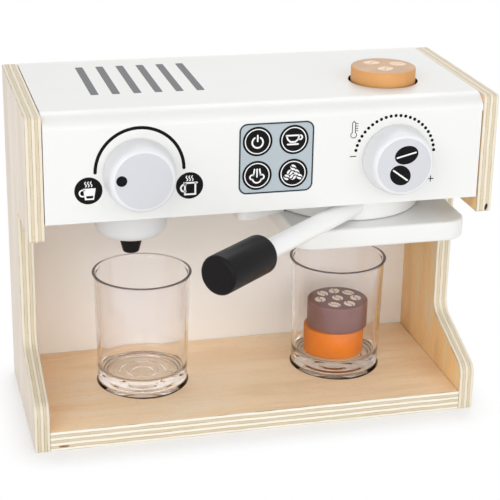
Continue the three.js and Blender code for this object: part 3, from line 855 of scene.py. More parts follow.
def dress_board(piece: bpy.types.Object, axis: Axis, low: Finish, high: Finish, edge: Finish) -> None:
    """Gives a board its face veneers and its ply edge.

    Args:
        piece: the board.
        axis: the axis that runs through its thickness.
        low: finish of the face that looks down that axis.
        high: finish of the face that looks up it.
        edge: finish of its cut edges.
    """
    dress(piece, low, high, edge)
    give_faces(piece, 1, lambda face: face.normal[axis.value] > FLAT)
    give_faces(piece, 2, lambda face: abs(face.normal[axis.value]) <= FLAT)


def settle(piece: bpy.types.Object, body: str, slot: str, *nodes: str) -> None:
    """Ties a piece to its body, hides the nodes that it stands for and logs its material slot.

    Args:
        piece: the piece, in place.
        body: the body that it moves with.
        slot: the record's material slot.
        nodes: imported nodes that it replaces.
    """
    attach(piece, body)
    if nodes:
        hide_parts(*nodes)
    log.info("%s rides on %s (%s)", piece.name, body, slot)


def keep_node(name: str, finish: Finish) -> None:
    """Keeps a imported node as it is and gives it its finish."""
    dress(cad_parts[name], finish)
    log.info("%s stays, in %s", name, finish.name)


@dataclass
class Print:
    """One ink on one face: thin raised shapes that share a layer."""

    name: str
    place: Matrix
    finish: Finish
    layer: int = 0
    build: bmesh.types.BMesh = field(default_factory=bmesh.new)

    @property
    def heights(self) -> Point2:
        """Where the layer's ink starts and ends over the face; the lowest layer starts just inside it."""
        return INK * self.layer if self.layer else -INK, INK * (self.layer + 1)

    def shape(self, outline: Sequence[Point2]) -> None:
        """Adds a filled outline."""
        extruded(self.build, outline, *self.heights, self.place)

    def ellipse(self, x: float, y: float, a: float, b: float, tilt: float = 0.0, steps: int = 40) -> None:
        """Adds a filled ellipse.

        Args:
            x: its middle across.
            y: its middle upwards.
            a: half its length.
            b: half its width.
            tilt: its turn in radians.
            steps: points round it.
        """
        level = [(a * u, b * v) for u, v in circle(0.0, 0.0, 1.0, steps)]
        self.shape(spun(level, x, y, [tilt] * steps))

    def disc(self, x: float, y: float, radius: float) -> None:
        """Adds a filled circle."""
        self.ellipse(x, y, radius, radius)

    def stroke(self, points: Sequence[Point2], width: float, cap_steps: int = 6) -> None:
        """Adds a line of even width with round ends.

        Args:
            points: the line's points.
            width: its width.
            cap_steps: segments in each round end.
        """
        path = [Vector(p) for p in points]
        sides: list[list[Point2]] = [[], []]
        for i, point in enumerate(path):
            before = (point - path[i - 1]).normalized() if i else (path[1] - point).normalized()
            after = (path[i + 1] - point).normalized() if i < len(path) - 1 else before
            along = (before + after).normalized()
            normal = Vector((-along.y, along.x))
            reach = width / 2 / max(SHARPEST_MITRE, normal.dot(Vector((-before.y, before.x))))
            for side, sign in zip(sides, (1, -1)):
                side.append(tuple(point + normal * reach * sign))
        self.shape([
            *sides[0],
            *self.cap(path[-1], path[-1] - path[-2], width / 2, cap_steps),
            *reversed(sides[1]),
            *self.cap(path[0], path[0] - path[1], width / 2, cap_steps),
        ])

    @staticmethod
    def cap(end: Vector, along: Vector, radius: float, steps: int) -> list[Point2]:
        """Points of a round end, from the left side of the line to its right one.

        Args:
            end: the line's last point.
            along: the way that the line runs there.
            radius: half the line's width.
            steps: segments in the end.

        Returns:
            The points between the two sides.
        """
        start = math.atan2(along.y, along.x) + QUARTER_TURN
        angles = [start - math.pi * k / steps for k in range(1, steps)]
        return [(end.x + radius * math.cos(a), end.y + radius * math.sin(a)) for a in angles]

    def arc(self, x: float, y: float, radius: float, start: float, end: float, width: float) -> None:
        """Adds part of a circle's line.

        Args:
            x: the circle's middle across.
            y: the circle's middle upwards.
            radius: the circle's radius.
            start: first angle in degrees.
            end: last angle in degrees.
            width: the line's width.
        """
        steps = max(6, round(abs(end - start) / ARC_STEP))
        angles = [math.radians(start + (end - start) * k / steps) for k in range(steps + 1)]
        self.stroke([(x + radius * math.cos(a), y + radius * math.sin(a)) for a in angles], width)

    def band(self, outer: Sequence[Point2], inner: Sequence[Point2]) -> None:
        """Adds a closed band between two outlines.

        Args:
            outer: the points of its outer edge.
            inner: as many points of its inner edge.
        """
        low, high = self.heights
        count = len(outer)
        rings = [
            [self.build.verts.new(self.place @ Vector((x, y, z))) for x, y in outline]
            for outline, z in ((outer, low), (outer, high), (inner, high), (inner, low))
        ]
        for first, second in zip(rings, rings[1:] + rings[:1]):
            for i in range(count):
                k = (i + 1) % count
                self.build.faces.new([first[i], first[k], second[k], second[i]])

    def ring(self, x: float, y: float, radius: float, width: float, steps: int = 56) -> None:
        """Adds a whole circle's line.

        Args:
            x: the circle's middle across.
            y: the circle's middle upwards.
            radius: the line's middle radius.
            width: the line's width.
            steps: points round it.
        """
        self.band(circle(x, y, radius + width / 2, steps), circle(x, y, radius - width / 2, steps))

    def bean(self, x: float, y: float, a: float, b: float, tilt: float, gap: float, steps: int = 14) -> None:
        """Adds a coffee bean as two halves with a curved cleft between them.

        Args:
            x: its middle across.
            y: its middle upwards.
            a: half its length.
            b: half its width.
            tilt: its turn in radians.
            gap: the cleft's width.
            steps: points along each side.
        """
        sweep = 180.0 - 2 * BEAN_TIP_ANGLE
        for sign in (1, -1):
            turns = [math.radians(BEAN_TIP_ANGLE + sweep * k / steps) for k in range(steps + 1)]
            rim = [(a * math.cos(turn), sign * b * math.sin(turn)) for turn in turns]
            cleft = [
                (share * rim[0][0], b * BEAN_BEND_SHARE * math.sin(math.pi * share) + sign * gap / 2)
                for share in (-1 + 2 * k / steps for k in range(1, steps))
            ]
            half = rim + cleft
            self.shape(spun(half, x, y, [tilt] * len(half)))

    def settle(self, body: str, slot: str) -> None:
        """Makes the print's object and ties it to its body.

        Args:
            body: the body that it moves with.
            slot: the record's material slot.
        """
        settle(dress(finish_mesh(self.name, self.build), self.finish), body, slot)


@dataclass(frozen=True)
class Sign:
    """A small drawing in shares of its mark's radius, round the mark's middle."""

    line: float = 1.8
    strokes: tuple[tuple[Point2, ...], ...] = ()
    arcs: tuple[tuple[float, float, float, float, float], ...] = ()
    fields: tuple[tuple[Point2, ...], ...] = ()

    def draw(self, ink: Print, at: Point2, unit: float, thin_line: float) -> None:
        """Prints the sign.

        Args:
            ink: the print that gets it.
            at: the mark's middle.
            unit: the mark's radius.
            thin_line: the width that the sign's line is a multiple of.
        """
        x, z = at
        for points in self.fields:
            ink.shape([(x + unit * u, z + unit * v) for u, v in points])
        for points in self.strokes:
            ink.stroke([(x + unit * u, z + unit * v) for u, v in points], thin_line * self.line)
        for u, v, radius, start, end in self.arcs:
            ink.arc(x + unit * u, z + unit * v, unit * radius, start, end, thin_line * self.line)


# A small cup with a steep side and a ring handle, and the dark window in it.
SMALL_CUP_SHARES = Sign(line=1.6, arcs=((-0.4, -0.16, 0.24, 60.0, 290.0),), fields=(
    ((-0.38, 0.18), (0.52, 0.18), (0.38, -0.68), (-0.26, -0.68)),
))
CUP_WINDOW_SHARES = Sign(fields=(((-0.18, -0.38), (0.34, -0.38), (0.31, -0.56), (-0.14, -0.56)),))
# A tall mug in outline with a lid line and a ring handle.
TALL_MUG_SHARES = Sign(line=1.9, arcs=((-0.38, -0.18, 0.26, 70.0, 290.0),), strokes=(
    ((-0.34, 0.18), (-0.34, -0.66), (0.42, -0.66), (0.42, 0.18)),
    ((-0.4, 0.2), (0.54, 0.2)),
))
# The usual power sign: an open ring and a bar.
POWER_SHARES = Sign(arcs=((0.0, -0.08, 0.46, 122.0, 418.0),), strokes=(((0.0, 0.02), (0.0, 0.52)),))
# A wide cup with its handle, on a saucer line.
WIDE_CUP_SHARES = Sign(arcs=((0.52, 0.18, 0.18, 100.0, -130.0),), strokes=(
    ((-0.66, 0.36), (0.46, 0.36), (0.34, 0.0), (0.12, -0.2), (-0.3, -0.2), (-0.52, 0.0), (-0.64, 0.3)),
    ((-0.54, -0.4), (0.36, -0.4)),
))
# A jet that splashes into three lobes, between two slanting lines.
POUR_SHARES = Sign(line=1.7, arcs=(
    (-0.4, -0.14, 0.2, 60.0, 260.0), (0.4, -0.14, 0.2, 120.0, -80.0), (0.0, -0.26, 0.38, 190.0, 350.0),
), strokes=(
    ((0.0, -0.12), (0.0, 0.54)),
    ((-0.3, 0.06), (-0.22, 0.54)),
    ((0.3, 0.06), (0.22, 0.54)),
))
# A plain minus and a plain plus, a share of 1 long on each side.
MINUS_SHARES = Sign(line=1.0, strokes=(((-1.0, 0.0), (1.0, 0.0)),))
PLUS_SHARES = Sign(line=1.0, strokes=(((-1.0, 0.0), (1.0, 0.0)), ((0.0, -1.0), (0.0, 1.0))))


@dataclass
class Cabinet:
    """Plywood sides and base board, and the thin back that closes them."""

    arris: float = 0.0007
    lip_corner: float = 0.002
    neck_corner: float = 0.008
    slope_corner: float = 0.01
    foot_corner: float = 0.008
    head_corner: float = 0.0025
    back_corner: float = 0.001
    lip_drop: float = 0.01
    neck_depth: float = 0.0605
    slope_top: float = 0.0465
    foot_height: float = 0.028
    recess_gap: float = 0.0005
    recess_depth: float = 0.0025
    # Widths of the painted shade on the recess walls and round the recess rims.
    wall_shade_ring: float = 0.0003
    gap_shade_edge: float = 0.0003
    gap_shade_front: float = 0.002
    gap_shade_power: int = 4
    gap_shade_steps: int = 120
    side_plies: int = 5
    base_plies: int = 7
    lip_knot_share: float = 0.66
    lip_knot_height: float = 0.1342
    lip_knot_size: Point2 = (0.0021, 0.0009)
    lip_knot_tilt: float = math.radians(78)
    base_knot_at: Point2 = (-0.1183, 0.0026)
    base_knot_size: Point2 = (0.0032, 0.0006)

    def side_outline(self) -> list[Point2]:
        """The side panel's outline in Y and Z.

        Returns:
            The points of the outline.
        """
        panel, base = NodeBox("left_side_panel"), NodeBox("base_board")
        back, front, top = panel.high.y, panel.low.y, panel.high.z
        lip = NodeBox("head_floor").low.z - self.lip_drop
        neck = back - self.neck_depth
        return rounded([
            (back, 0.0, 0.0),
            (back, top, self.back_corner),
            (front, top, self.head_corner),
            (front, lip, self.lip_corner),
            (neck, lip, self.neck_corner),
            (neck, self.slope_top, self.slope_corner),
            (base.low.y, self.foot_height, self.foot_corner),
            (base.low.y, 0.0, 0.0),
        ])

    def side(self, side: Side) -> None:
        """Makes one side panel.

        Args:
            side: the side that it stands on.
        """
        node = NodeBox(f"{side.word}_side_panel")
        panel = board(f"{side.word}_side_board", self.side_outline(), 0.0, node.size.x,
                      facing_side(Vector((node.low.x, 0, 0))), arris=self.arris)
        # Sawn birch plywood: cream and tan lines along the whole outline, which say that it is no solid wood.
        edge = PlyEdge(f"birch_ply_edge_{side.word}", "E8DFCD", roughness=0.6, axis=Axis.X,
                       start=node.low.x, ply=node.size.x / self.side_plies)
        veneers = (OUTER_VENEER, INNER_VENEER) if side is Side.LEFT else (INNER_VENEER, OUTER_VENEER)
        dress_board(panel, Axis.X, *veneers, edge)
        settle(panel, "cabinet", "birch", node.name)

    def recesses(self) -> list[tuple[Vector, float]]:
        """The middle of each recess's floor, and its radius.

        Returns:
            One pair for each cup.
        """
        floor = NodeBox("base_board").high.z - self.recess_depth
        cups = [(NodeBox(f"{side.word}_cup").middle, Cup(side)) for side in Side]
        return [(Vector((at.x, at.y, floor)), cup.foot_radius + self.recess_gap) for at, cup in cups]

    def on_recess_wall(self, spot: Vector, floor: Vector, radius: float) -> bool:
        """Whether a spot lies on a recess's wall or on the thin ring at the foot of it."""
        deep = floor.z - self.arris < spot.z < floor.z + self.recess_depth - self.arris
        return deep and radius - self.wall_shade_ring < (spot.xy - floor.xy).length < radius + self.arris

    def base(self) -> None:
        """Makes the base board with its two recesses and the painted shade round them."""
        node = NodeBox("base_board")
        plank = board("base_plank", oblong((node.low.x, node.high.x), (node.low.y, node.high.y)),
                      node.low.z, node.high.z, arris=self.arris)
        worked(plank, [
            turned("recess", [(radius - self.wall_shade_ring, 0.0, 0.0), (radius, 0.0, 0.0),
                              (radius, self.recess_depth + OVERRUN, 0.0)], upright(floor))
            for floor, radius in self.recesses()
        ])
        # The same plywood in the base, where the front light falls on it: paler lines, close to white.
        edge = PlyEdge("birch_ply_edge_base", "F8F2E4", roughness=0.6, axis=Axis.Z,
                       start=node.low.z, ply=node.size.z / self.base_plies)
        dress_board(plank, Axis.Z, BASE_VENEER, BASE_VENEER, edge)
        plank.data.materials.append(RECESS_WALL_SHADE.material())
        wall_shade = len(plank.data.materials) - 1
        # A near-black band round each recess's rim: painted shade of the gap round the cup's foot.
        edges = Print("painted_shade_round_recesses", upright(Vector((0, 0, node.high.z))), GAP_SHADE)
        turns = [2 * math.pi * k / self.gap_shade_steps for k in range(self.gap_shade_steps)]
        for floor, radius in self.recesses():
            give_faces(plank, wall_shade, lambda face: self.on_recess_wall(face.center, floor, radius))
            reach = [radius + self.gap_shade_width(turn) for turn in turns]
            edges.band(spun([(out, 0.0) for out in reach], floor.x, floor.y, turns),
                       circle(floor.x, floor.y, radius, self.gap_shade_steps))
        settle(plank, "cabinet", "birch", node.name)
        edges.settle("cabinet", "birch")

    def gap_shade_width(self, turn: float) -> float:
        """How wide the painted shade round a recess is at an angle: widest at the front, where the gap's
        shade shows most.
        """
        front = max(0.0, -math.sin(turn)) ** self.gap_shade_power
        return self.gap_shade_edge + (self.gap_shade_front - self.gap_shade_edge) * front

    def knots(self) -> None:
        """Puts a dark knot on the right lip's edge and a brown one on the base board's edge."""
        right, base = NodeBox("right_side_panel"), NodeBox("base_board")
        dark = Print("knot_on_right_lip", facing_front(Vector((0, right.low.y, 0))), KNOT)
        dark.ellipse(right.low.x + right.size.x * self.lip_knot_share, self.lip_knot_height,
                     *self.lip_knot_size, self.lip_knot_tilt)
        dark.settle("cabinet", "birch")
        brown = Print("knot_on_base_edge", facing_front(Vector((0, base.low.y, 0))), BROWN_KNOT)
        brown.ellipse(*self.base_knot_at, *self.base_knot_size)
        brown.settle("cabinet", "birch")

    def make(self) -> None:
        """Makes the cabinet."""
        for side in Side:
            self.side(side)
        self.base()
        self.knots()
        # The back's foil carries the bay's painted shade and the birch's painted warm reflection in its
        # colour.
        keep_node("back_panel", BACK_FOIL)


@dataclass
class Head:
    """White boards of the head, with the printed vents, marks and button panel."""

    round_depth: float = 0.012
    round_land: float = 0.0005
    round_steps: int = 20
    seam: float = 0.0003
    right_seam: float = 0.0009
    hole_gap: float = 0.0015
    vent_count: int = 6
    vent_first_x: float = -0.0914
    vent_pitch: float = 0.0121
    vent_width: float = 0.0045
    vent_corner: float = 0.0009
    vent_back: float = 0.0155
    vent_front: float = 0.078
    arc_at: Point2 = (-0.0735, 0.169)
    arc_radius: float = 0.0245
    arc_angles: Point2 = (179.0, 1.0)
    arc_width: float = 0.00185
    mark_radius: float = 0.0077
    cup_mark_at: Point2 = (-0.1018, 0.1594)
    mug_mark_at: Point2 = (-0.0458, 0.1589)
    cup_steam_share: float = 0.3
    mug_steam_share: float = 0.36
    wisp_count: int = 3
    wisp_steps: int = 8
    wisp_pitch_share: float = 0.2
    wisp_height_share: float = 0.36
    wisp_sway_share: float = 0.06
    dot_count: int = 24
    dots_at: Point2 = (0.0732, 0.169)
    dot_radius: float = 0.00095
    dot_steps: int = 16
    dot_ring: float = 0.0237
    dot_angles: Point2 = (169.0, 5.5)
    gauge_at: Point2 = (0.04822, 0.18263)
    gauge_bulb: float = 0.0017
    gauge_bulb_angles: Point2 = (122.0, 418.0)
    gauge_tube: float = 0.0009
    gauge_rise: float = 0.001254
    gauge_length: float = 0.005808
    gauge_line_share: float = 0.8
    tick_count: int = 4
    tick_first_share: float = 0.2
    tick_pitch_share: float = 0.24
    tick_reach_share: float = 1.6
    minus_at: Point2 = (0.0484, 0.17)
    plus_at: Point2 = (0.096, 0.1539)
    sign_reach: float = 0.0016
    thin_line: float = 0.00052
    panel_x: Point2 = (-0.0175, 0.0245)
    panel_z: Point2 = (0.152, 0.192)
    panel_corner: float = 0.0042
    panel_line: float = 0.0008
    panel_margin_share: float = 0.8
    button_x: Point2 = (-0.0075, 0.0134)
    button_z: Point2 = (0.182, 0.1623)
    button_ring: float = 0.0079
    button_radius: float = 0.0067
    button_line: float = 0.0012
    bean_row_shares: tuple[tuple[int, float], ...] = ((3, -0.32), (2, 0.1), (1, 0.52))
    bean_pitch_share: float = 0.56
    bean_size_shares: Point2 = (0.28, 0.22)
    bean_tilts: Point2 = (-40.0, 35.0)
    bean_gap_share: float = 1.5
    bean_steps: int = 8

    @property
    def face(self) -> Matrix:
        """The plane of the front board's face."""
        return facing_front(Vector((0, NodeBox("head_front_panel").low.y, 0)))

    def top_outline(self) -> list[Point2]:
        """The top board's section in Y and Z, with its rolled front edge as an ellipse's quarter.

        Returns:
            The points of the outline.
        """
        top = NodeBox("head_top_panel")
        drop = top.size.z - self.round_land
        turns = [QUARTER_TURN * k / self.round_steps for k in range(self.round_steps + 1)]
        roll = [
            (top.low.y + self.round_depth * (1 - math.sin(turn)), top.high.z - drop * (1 - math.cos(turn)))
            for turn in turns
        ]
        return [(top.high.y, top.low.z), (top.high.y, top.high.z), *roll, (top.low.y, top.low.z)]

    def boards(self) -> None:
        """Makes the top and front boards, and dresses those that stay."""
        top, front = NodeBox("head_top_panel"), NodeBox("head_front_panel")
        caramel = NodeBox("coffee_disc_caramel")
        at = Vector((caramel.middle.x, caramel.middle.y, top.low.z))
        radius = caramel.size.x / 2 + self.hole_gap
        panel = board("head_top_board", self.top_outline(), top.low.x + self.seam, top.high.x - self.seam,
                      facing_side(Vector()), [hole(at, radius, top.size.z)])
        # The hole's wall is dressed near black: painted shade in the gap round the caramel disc.
        dress(panel, WHITE_LACQUER, GAP_SHADE)
        give_faces(panel, 1, lambda face: abs(face.normal.z) < UPRIGHT
                   and (face.center.xy - at.xy).length < radius + self.hole_gap)
        settle(panel, "cabinet", "white_lacquer", top.name)
        left, right = front.low.x + self.seam, front.high.x - self.right_seam
        back = facing_front(Vector((0, front.high.y, 0)))
        outline = oblong((left, right), (front.low.z, front.high.z))
        panel = board("head_front_board", outline, 0.0, front.size.y, back)
        settle(dress(panel, WHITE_LACQUER), "cabinet", "white_lacquer", front.name)
        # The rest under the caramel disc is near black too: painted shade seen through that gap.
        keep_node("disc_rest", GAP_SHADE)
        keep_node("head_floor", WHITE_LACQUER)

    def vents(self) -> None:
        """Prints the vent stripes on the top."""
        top = NodeBox("head_top_panel")
        stripes = Print("vent_stripes", upright(Vector((0, top.high.y, top.high.z))), GREY_INK)
        back = NodeBox("back_panel").high.y - top.high.y
        for i in range(self.vent_count):
            x = self.vent_first_x + self.vent_pitch * i
            stripes.shape(oblong((x - self.vent_width / 2, x + self.vent_width / 2),
                                 (back - self.vent_front, back - self.vent_back), self.vent_corner))
        stripes.settle("cabinet", "white_lacquer")

    def dial_marks(self) -> None:
        """Prints the arc, the two round marks, the dots, the gauge and the minus and plus signs."""
        black = Print("dial_marks_black", self.face, BLACK_INK)
        white = Print("dial_marks_white", self.face, WHITE_INK, layer=1)
        window = Print("dial_mark_window", self.face, BLACK_INK, layer=2)
        black.arc(*self.arc_at, self.arc_radius, *self.arc_angles, self.arc_width)
        for at, sign, steam in (
            (self.cup_mark_at, SMALL_CUP_SHARES, self.cup_steam_share),
            (self.mug_mark_at, TALL_MUG_SHARES, self.mug_steam_share),
        ):
            black.disc(*at, self.mark_radius)
            sign.draw(white, at, self.mark_radius, self.thin_line)
            self.steam(white, at[0], at[1] + self.mark_radius * steam)
        CUP_WINDOW_SHARES.draw(window, self.cup_mark_at, self.mark_radius, self.thin_line)
        first, last = self.dot_angles
        for i in range(self.dot_count):
            angle = math.radians(first + (last - first) * (i / (self.dot_count - 1)))
            black.ellipse(self.dots_at[0] + self.dot_ring * math.cos(angle),
                          self.dots_at[1] + self.dot_ring * math.sin(angle),
                          self.dot_radius, self.dot_radius, steps=self.dot_steps)
        self.gauge(black)
        MINUS_SHARES.draw(black, self.minus_at, self.sign_reach, self.thin_line)
        PLUS_SHARES.draw(black, self.plus_at, self.sign_reach, self.thin_line)
        window.settle("cabinet", "black_lacquer")
        black.settle("cabinet", "black_lacquer")
        white.settle("cabinet", "white_lacquer")

    def steam(self, ink: Print, x: float, z: float) -> None:
        """Prints wisps of steam side by side.

        Args:
            ink: the print that gets them.
            x: their middle across.
            z: their lower end.
        """
        height, sway = self.mark_radius * self.wisp_height_share, self.mark_radius * self.wisp_sway_share
        parts = [k / self.wisp_steps for k in range(self.wisp_steps + 1)]
        for i in range(self.wisp_count):
            middle = x + self.mark_radius * self.wisp_pitch_share * (i - (self.wisp_count - 1) / 2)
            wisp = [(middle + sway * math.sin(2 * math.pi * part), z + height * part) for part in parts]
            ink.stroke(wisp, self.thin_line)

    def gauge(self, ink: Print) -> None:
        """Prints the thermometer: a bulb, a tube and short lines beside it.

        Args:
            ink: the print that gets it.
        """
        x, z = self.gauge_at
        line = self.thin_line * self.gauge_line_share
        ink.arc(x, z, self.gauge_bulb, *self.gauge_bulb_angles, line)
        tube, low = self.gauge_tube, z + self.gauge_rise
        left, right, high = x - tube, x + tube, low + self.gauge_length
        ink.stroke([(left, low), (left, high), (x, high + tube), (right, high), (right, low)], line)
        start, end = right + line, right + tube * self.tick_reach_share
        for i in range(self.tick_count):
            level = low + self.gauge_length * (self.tick_first_share + self.tick_pitch_share * i)
            ink.stroke([(start, level), (end, level)], line)

    def button_panel(self) -> None:
        """Prints the grey panel with its four round buttons."""
        grey = Print("button_panel_grey", self.face, PANEL_INK)
        line = Print("button_panel_line", self.face, LINE_INK, layer=1)
        pale = Print("button_rings_pale", self.face, WHITE_INK, layer=1)
        black = Print("button_faces_black", self.face, BLACK_INK, layer=2)
        white = Print("button_signs_white", self.face, WHITE_INK, layer=3)
        half = self.panel_line / 2
        grey.shape(self.panel_outline(self.panel_line * self.panel_margin_share))
        line.band(self.panel_outline(half), self.panel_outline(-half))
        for z in self.button_z:
            for x in self.button_x:
                pale.disc(x, z, self.button_ring)
                black.ring(x, z, self.button_ring, self.button_line)
                black.disc(x, z, self.button_radius)
        (left, right), (upper, lower) = self.button_x, self.button_z
        for sign, at in (
            (POWER_SHARES, (left, upper)), (WIDE_CUP_SHARES, (right, upper)), (POUR_SHARES, (left, lower)),
        ):
            sign.draw(white, at, self.button_radius, self.thin_line)
        self.beans_sign(white, right, lower)
        grey.settle("cabinet", "grey_lacquer")
        for ink, slot in ((line, "black_lacquer"), (pale, "white_lacquer"),
                          (black, "black_lacquer"), (white, "white_lacquer")):
            ink.settle("cabinet", slot)

    def panel_outline(self, grow: float) -> list[Point2]:
        """The button panel's outline, grown by a length on every side."""
        (x0, x1), (z0, z1) = self.panel_x, self.panel_z
        return oblong((x0 - grow, x1 + grow), (z0 - grow, z1 + grow), self.panel_corner + grow)

    def beans_sign(self, ink: Print, x: float, z: float) -> None:
        """Prints a heap of six beans.

        Args:
            ink: the print that gets them.
            x: the heap's middle across.
            z: the heap's middle upwards.
        """
        unit = self.button_radius
        length, width = (unit * share for share in self.bean_size_shares)
        for row, (count, height) in enumerate(self.bean_row_shares):
            for i in range(count):
                across = x + unit * self.bean_pitch_share * (i - (count - 1) / 2)
                tilt = math.radians(self.bean_tilts[(i + row) % 2])
                ink.bean(across, z + unit * height, length, width, tilt, self.thin_line * self.bean_gap_share,
                         steps=self.bean_steps)

    def make(self) -> None:
        """Makes the head and its prints."""
        self.boards()
        self.vents()
        self.dial_marks()
        self.button_panel()


@dataclass
class Dial:
    """A turned dial with its printed mark."""

    side: Side
    taper: float = 0.002
    rim: float = 0.0032
    back_edge: float = 0.0008
    dot_radius: float = 0.003
    dot_out: float = 0.012
    mark_rise: float = 0.0008
    beans: tuple[tuple[float, float, float, float, float], ...] = (
        (0.001, 0.0052, 0.007, 0.0053, 14.0),
        (-0.0021, -0.0065, 0.0065, 0.0056, -36.0),
    )
    bean_line: float = 0.0009
    bean_line_share: float = 0.8

    def make(self) -> None:
        """Makes the dial and its mark."""
        node = NodeBox(f"{self.side.word}_knob")
        back, length, body = node.size.x / 2, node.size.y, f"{self.side.word}_dial"
        dial = turned(f"{self.side.word}_dial_body", [
            (back, 0.0, self.back_edge), (back - self.taper, length, self.rim),
        ], facing_front(Vector((node.middle.x, node.high.y, node.middle.z))))
        dress(dial, DIAL_LACQUER, DIAL_FACE)
        # The front face gets the darker copy of the grey: painted shade beside the lit rim.
        give_faces(dial, 1, lambda face: face.normal.y < -FLAT)
        settle(dial, body, "grey_lacquer", node.name)
        at = facing_front(Vector((node.middle.x, node.low.y, node.middle.z + self.mark_rise)))
        mark = Print(f"{self.side.word}_dial_mark", at, BLACK_INK)
        if self.side is Side.LEFT:
            mark.disc(-self.dot_out, 0.0, self.dot_radius)
        else:
            self.bean_mark(mark, body)
        mark.settle(body, "black_lacquer")

    def bean_mark(self, mark: Print, body: str) -> None:
        """Prints two beans, each with a straight cleft.

        Args:
            mark: the print that gets the beans.
            body: the body that the clefts' print moves with.
        """
        clefts = Print("right_dial_clefts", mark.place, WHITE_INK, layer=1)
        for x, z, a, b, tilt in self.beans:
            turn = math.radians(tilt)
            mark.ellipse(x, z, a, b, turn)
            reach = a * self.bean_line_share
            clefts.stroke(spun([(-reach, 0.0), (reach, 0.0)], x, z, [turn] * 2), self.bean_line)
        clefts.settle(body, "white_lacquer")


@dataclass
class Spout:
    """White turned bowl under the head, with its black nozzle."""

    bowl_round: float = 0.006
    bowl_arris: float = 0.0006
    nozzle_radius: float = 0.0077
    tip_radius: float = 0.0046
    nozzle_length: float = 0.0118
    tip_round: float = 0.0008

    def make(self) -> None:
        """Makes the bowl and the nozzle."""
        node = NodeBox("spout_bowl")
        radius, height = node.size.x / 2, node.size.z
        bowl = turned("spout_turning", [(radius, 0.0, self.bowl_round), (radius, height, self.bowl_arris)],
                      upright(node.foot), round_steps=14)
        settle(dress(bowl, BOWL_LACQUER), "cabinet", "white_lacquer", node.name)
        nozzle = turned("nozzle_turning", [
            (self.tip_radius, -self.nozzle_length, self.tip_round), (self.nozzle_radius, 0.0, 0.0),
        ], upright(node.foot), steps=64)
        settle(dress(nozzle, BLACK_LACQUER), "cabinet", "black_lacquer", "spout_nozzle")


@dataclass
class Portafilter:
    """The flat disc with its bar and grip."""

    disc_round: float = 0.0014
    handle_offset: float = 0.028
    handle_turn: float = math.radians(-49)
    stem_radius: float = 0.00575
    stem_socket: float = 0.016
    grip_end: float = 0.17
    grip_length: float = 0.041
    grip_radius: float = 0.011
    grip_round: float = 0.002

    def along(self, start: float) -> Matrix:
        """The handle's axis as a turning axis that starts at a distance from the disc's middle.

        Args:
            start: distance along the handle.

        Returns:
            The matrix of that axis.
        """
        disc = NodeBox("portafilter_disc").middle
        turn = Matrix.Rotation(self.handle_turn, 4, "Z")
        return (Matrix.Translation(disc) @ turn @ Matrix.Translation((self.handle_offset, -start, 0.0))
                @ Matrix.Rotation(QUARTER_TURN, 4, "X"))

    def make(self) -> None:
        """Makes disc, bar and grip."""
        node = NodeBox("portafilter_disc")
        radius, height = node.size.x / 2, node.size.z
        disc = turned("portafilter_plate", [
            (radius, 0.0, self.disc_round), (radius, height, self.disc_round),
        ], upright(node.foot), steps=192)
        settle(dress(disc, TURNED_LACQUER), "portafilter", "white_lacquer", node.name)
        rim = math.sqrt(radius ** 2 - self.handle_offset ** 2)
        start, grip_start = rim - self.stem_socket, self.grip_end - self.grip_length
        length = grip_start - start + self.stem_socket
        stem = turned("portafilter_bar", [(self.stem_radius, 0.0, 0.0), (self.stem_radius, length, 0.0)],
                      self.along(start), steps=64)
        settle(dress(stem, TURNED_LACQUER), "portafilter", "white_lacquer", "portafilter_stem")
        grip = turned("portafilter_handle", [
            (self.grip_radius, 0.0, self.grip_round), (self.grip_radius, self.grip_length, self.grip_round),
        ], self.along(grip_start), steps=96)
        settle(dress(grip, BLACK_LACQUER), "portafilter", "black_lacquer", "portafilter_grip")


@dataclass
class UnderHead:
    """The shelf and the guide board that carry the portafilter."""

    shelf_corner: float = 0.014
    shelf_edge: float = 0.0018
    pocket_gap: float = 0.0015
    arm_depth: float = 0.085
    arm_flat: float = 0.008
    right_depth: float = 0.07
    guide_corner: float = 0.005
    lead_angle: float = math.radians(24.5)

    def shelf(self) -> None:
        """Makes the shelf with its round front corners."""
        node = NodeBox("portafilter_shelf")
        outline = rounded([
            (node.low.x, node.high.y, 0.0), (node.low.x, node.low.y, self.shelf_corner),
            (node.high.x, node.low.y, self.shelf_corner), (node.high.x, node.high.y, 0.0),
        ], steps=16)
        shelf = board("shelf_board", outline, node.low.z, node.high.z, arris=self.shelf_edge, segments=4)
        settle(dress(shelf, WHITE_LACQUER), "cabinet", "white_lacquer", node.name)

    def guide(self) -> None:
        """Makes the guide board with the pocket round the disc."""
        node, disc = NodeBox("guide_board"), NodeBox("portafilter_disc")
        back, middle = NodeBox("back_panel").high.y, disc.middle
        arm_y, right_y, lead_x = back - self.arm_depth, back - self.right_depth, node.low.x + self.arm_flat
        outline = rounded([
            (node.low.x, node.high.y, 0.0),
            (node.low.x, arm_y, self.guide_corner),
            (lead_x, arm_y, 0.0),
            (middle.x, arm_y + (middle.x - lead_x) * math.tan(self.lead_angle), 0.0),
            (middle.x, right_y, 0.0),
            (node.high.x, right_y, 0.0),
            (node.high.x, node.high.y, 0.0),
        ])
        radius = disc.size.x / 2 + self.pocket_gap
        pocket = hole(Vector((middle.x, middle.y, node.low.z)), radius, node.size.z)
        plate = board("guide_plate", outline, node.low.z, node.high.z, cutters=[pocket])
        settle(dress(plate, WHITE_LACQUER), "cabinet", "white_lacquer", node.name)

    def make(self) -> None:
        """Makes both boards."""
        self.shelf()
        self.guide()


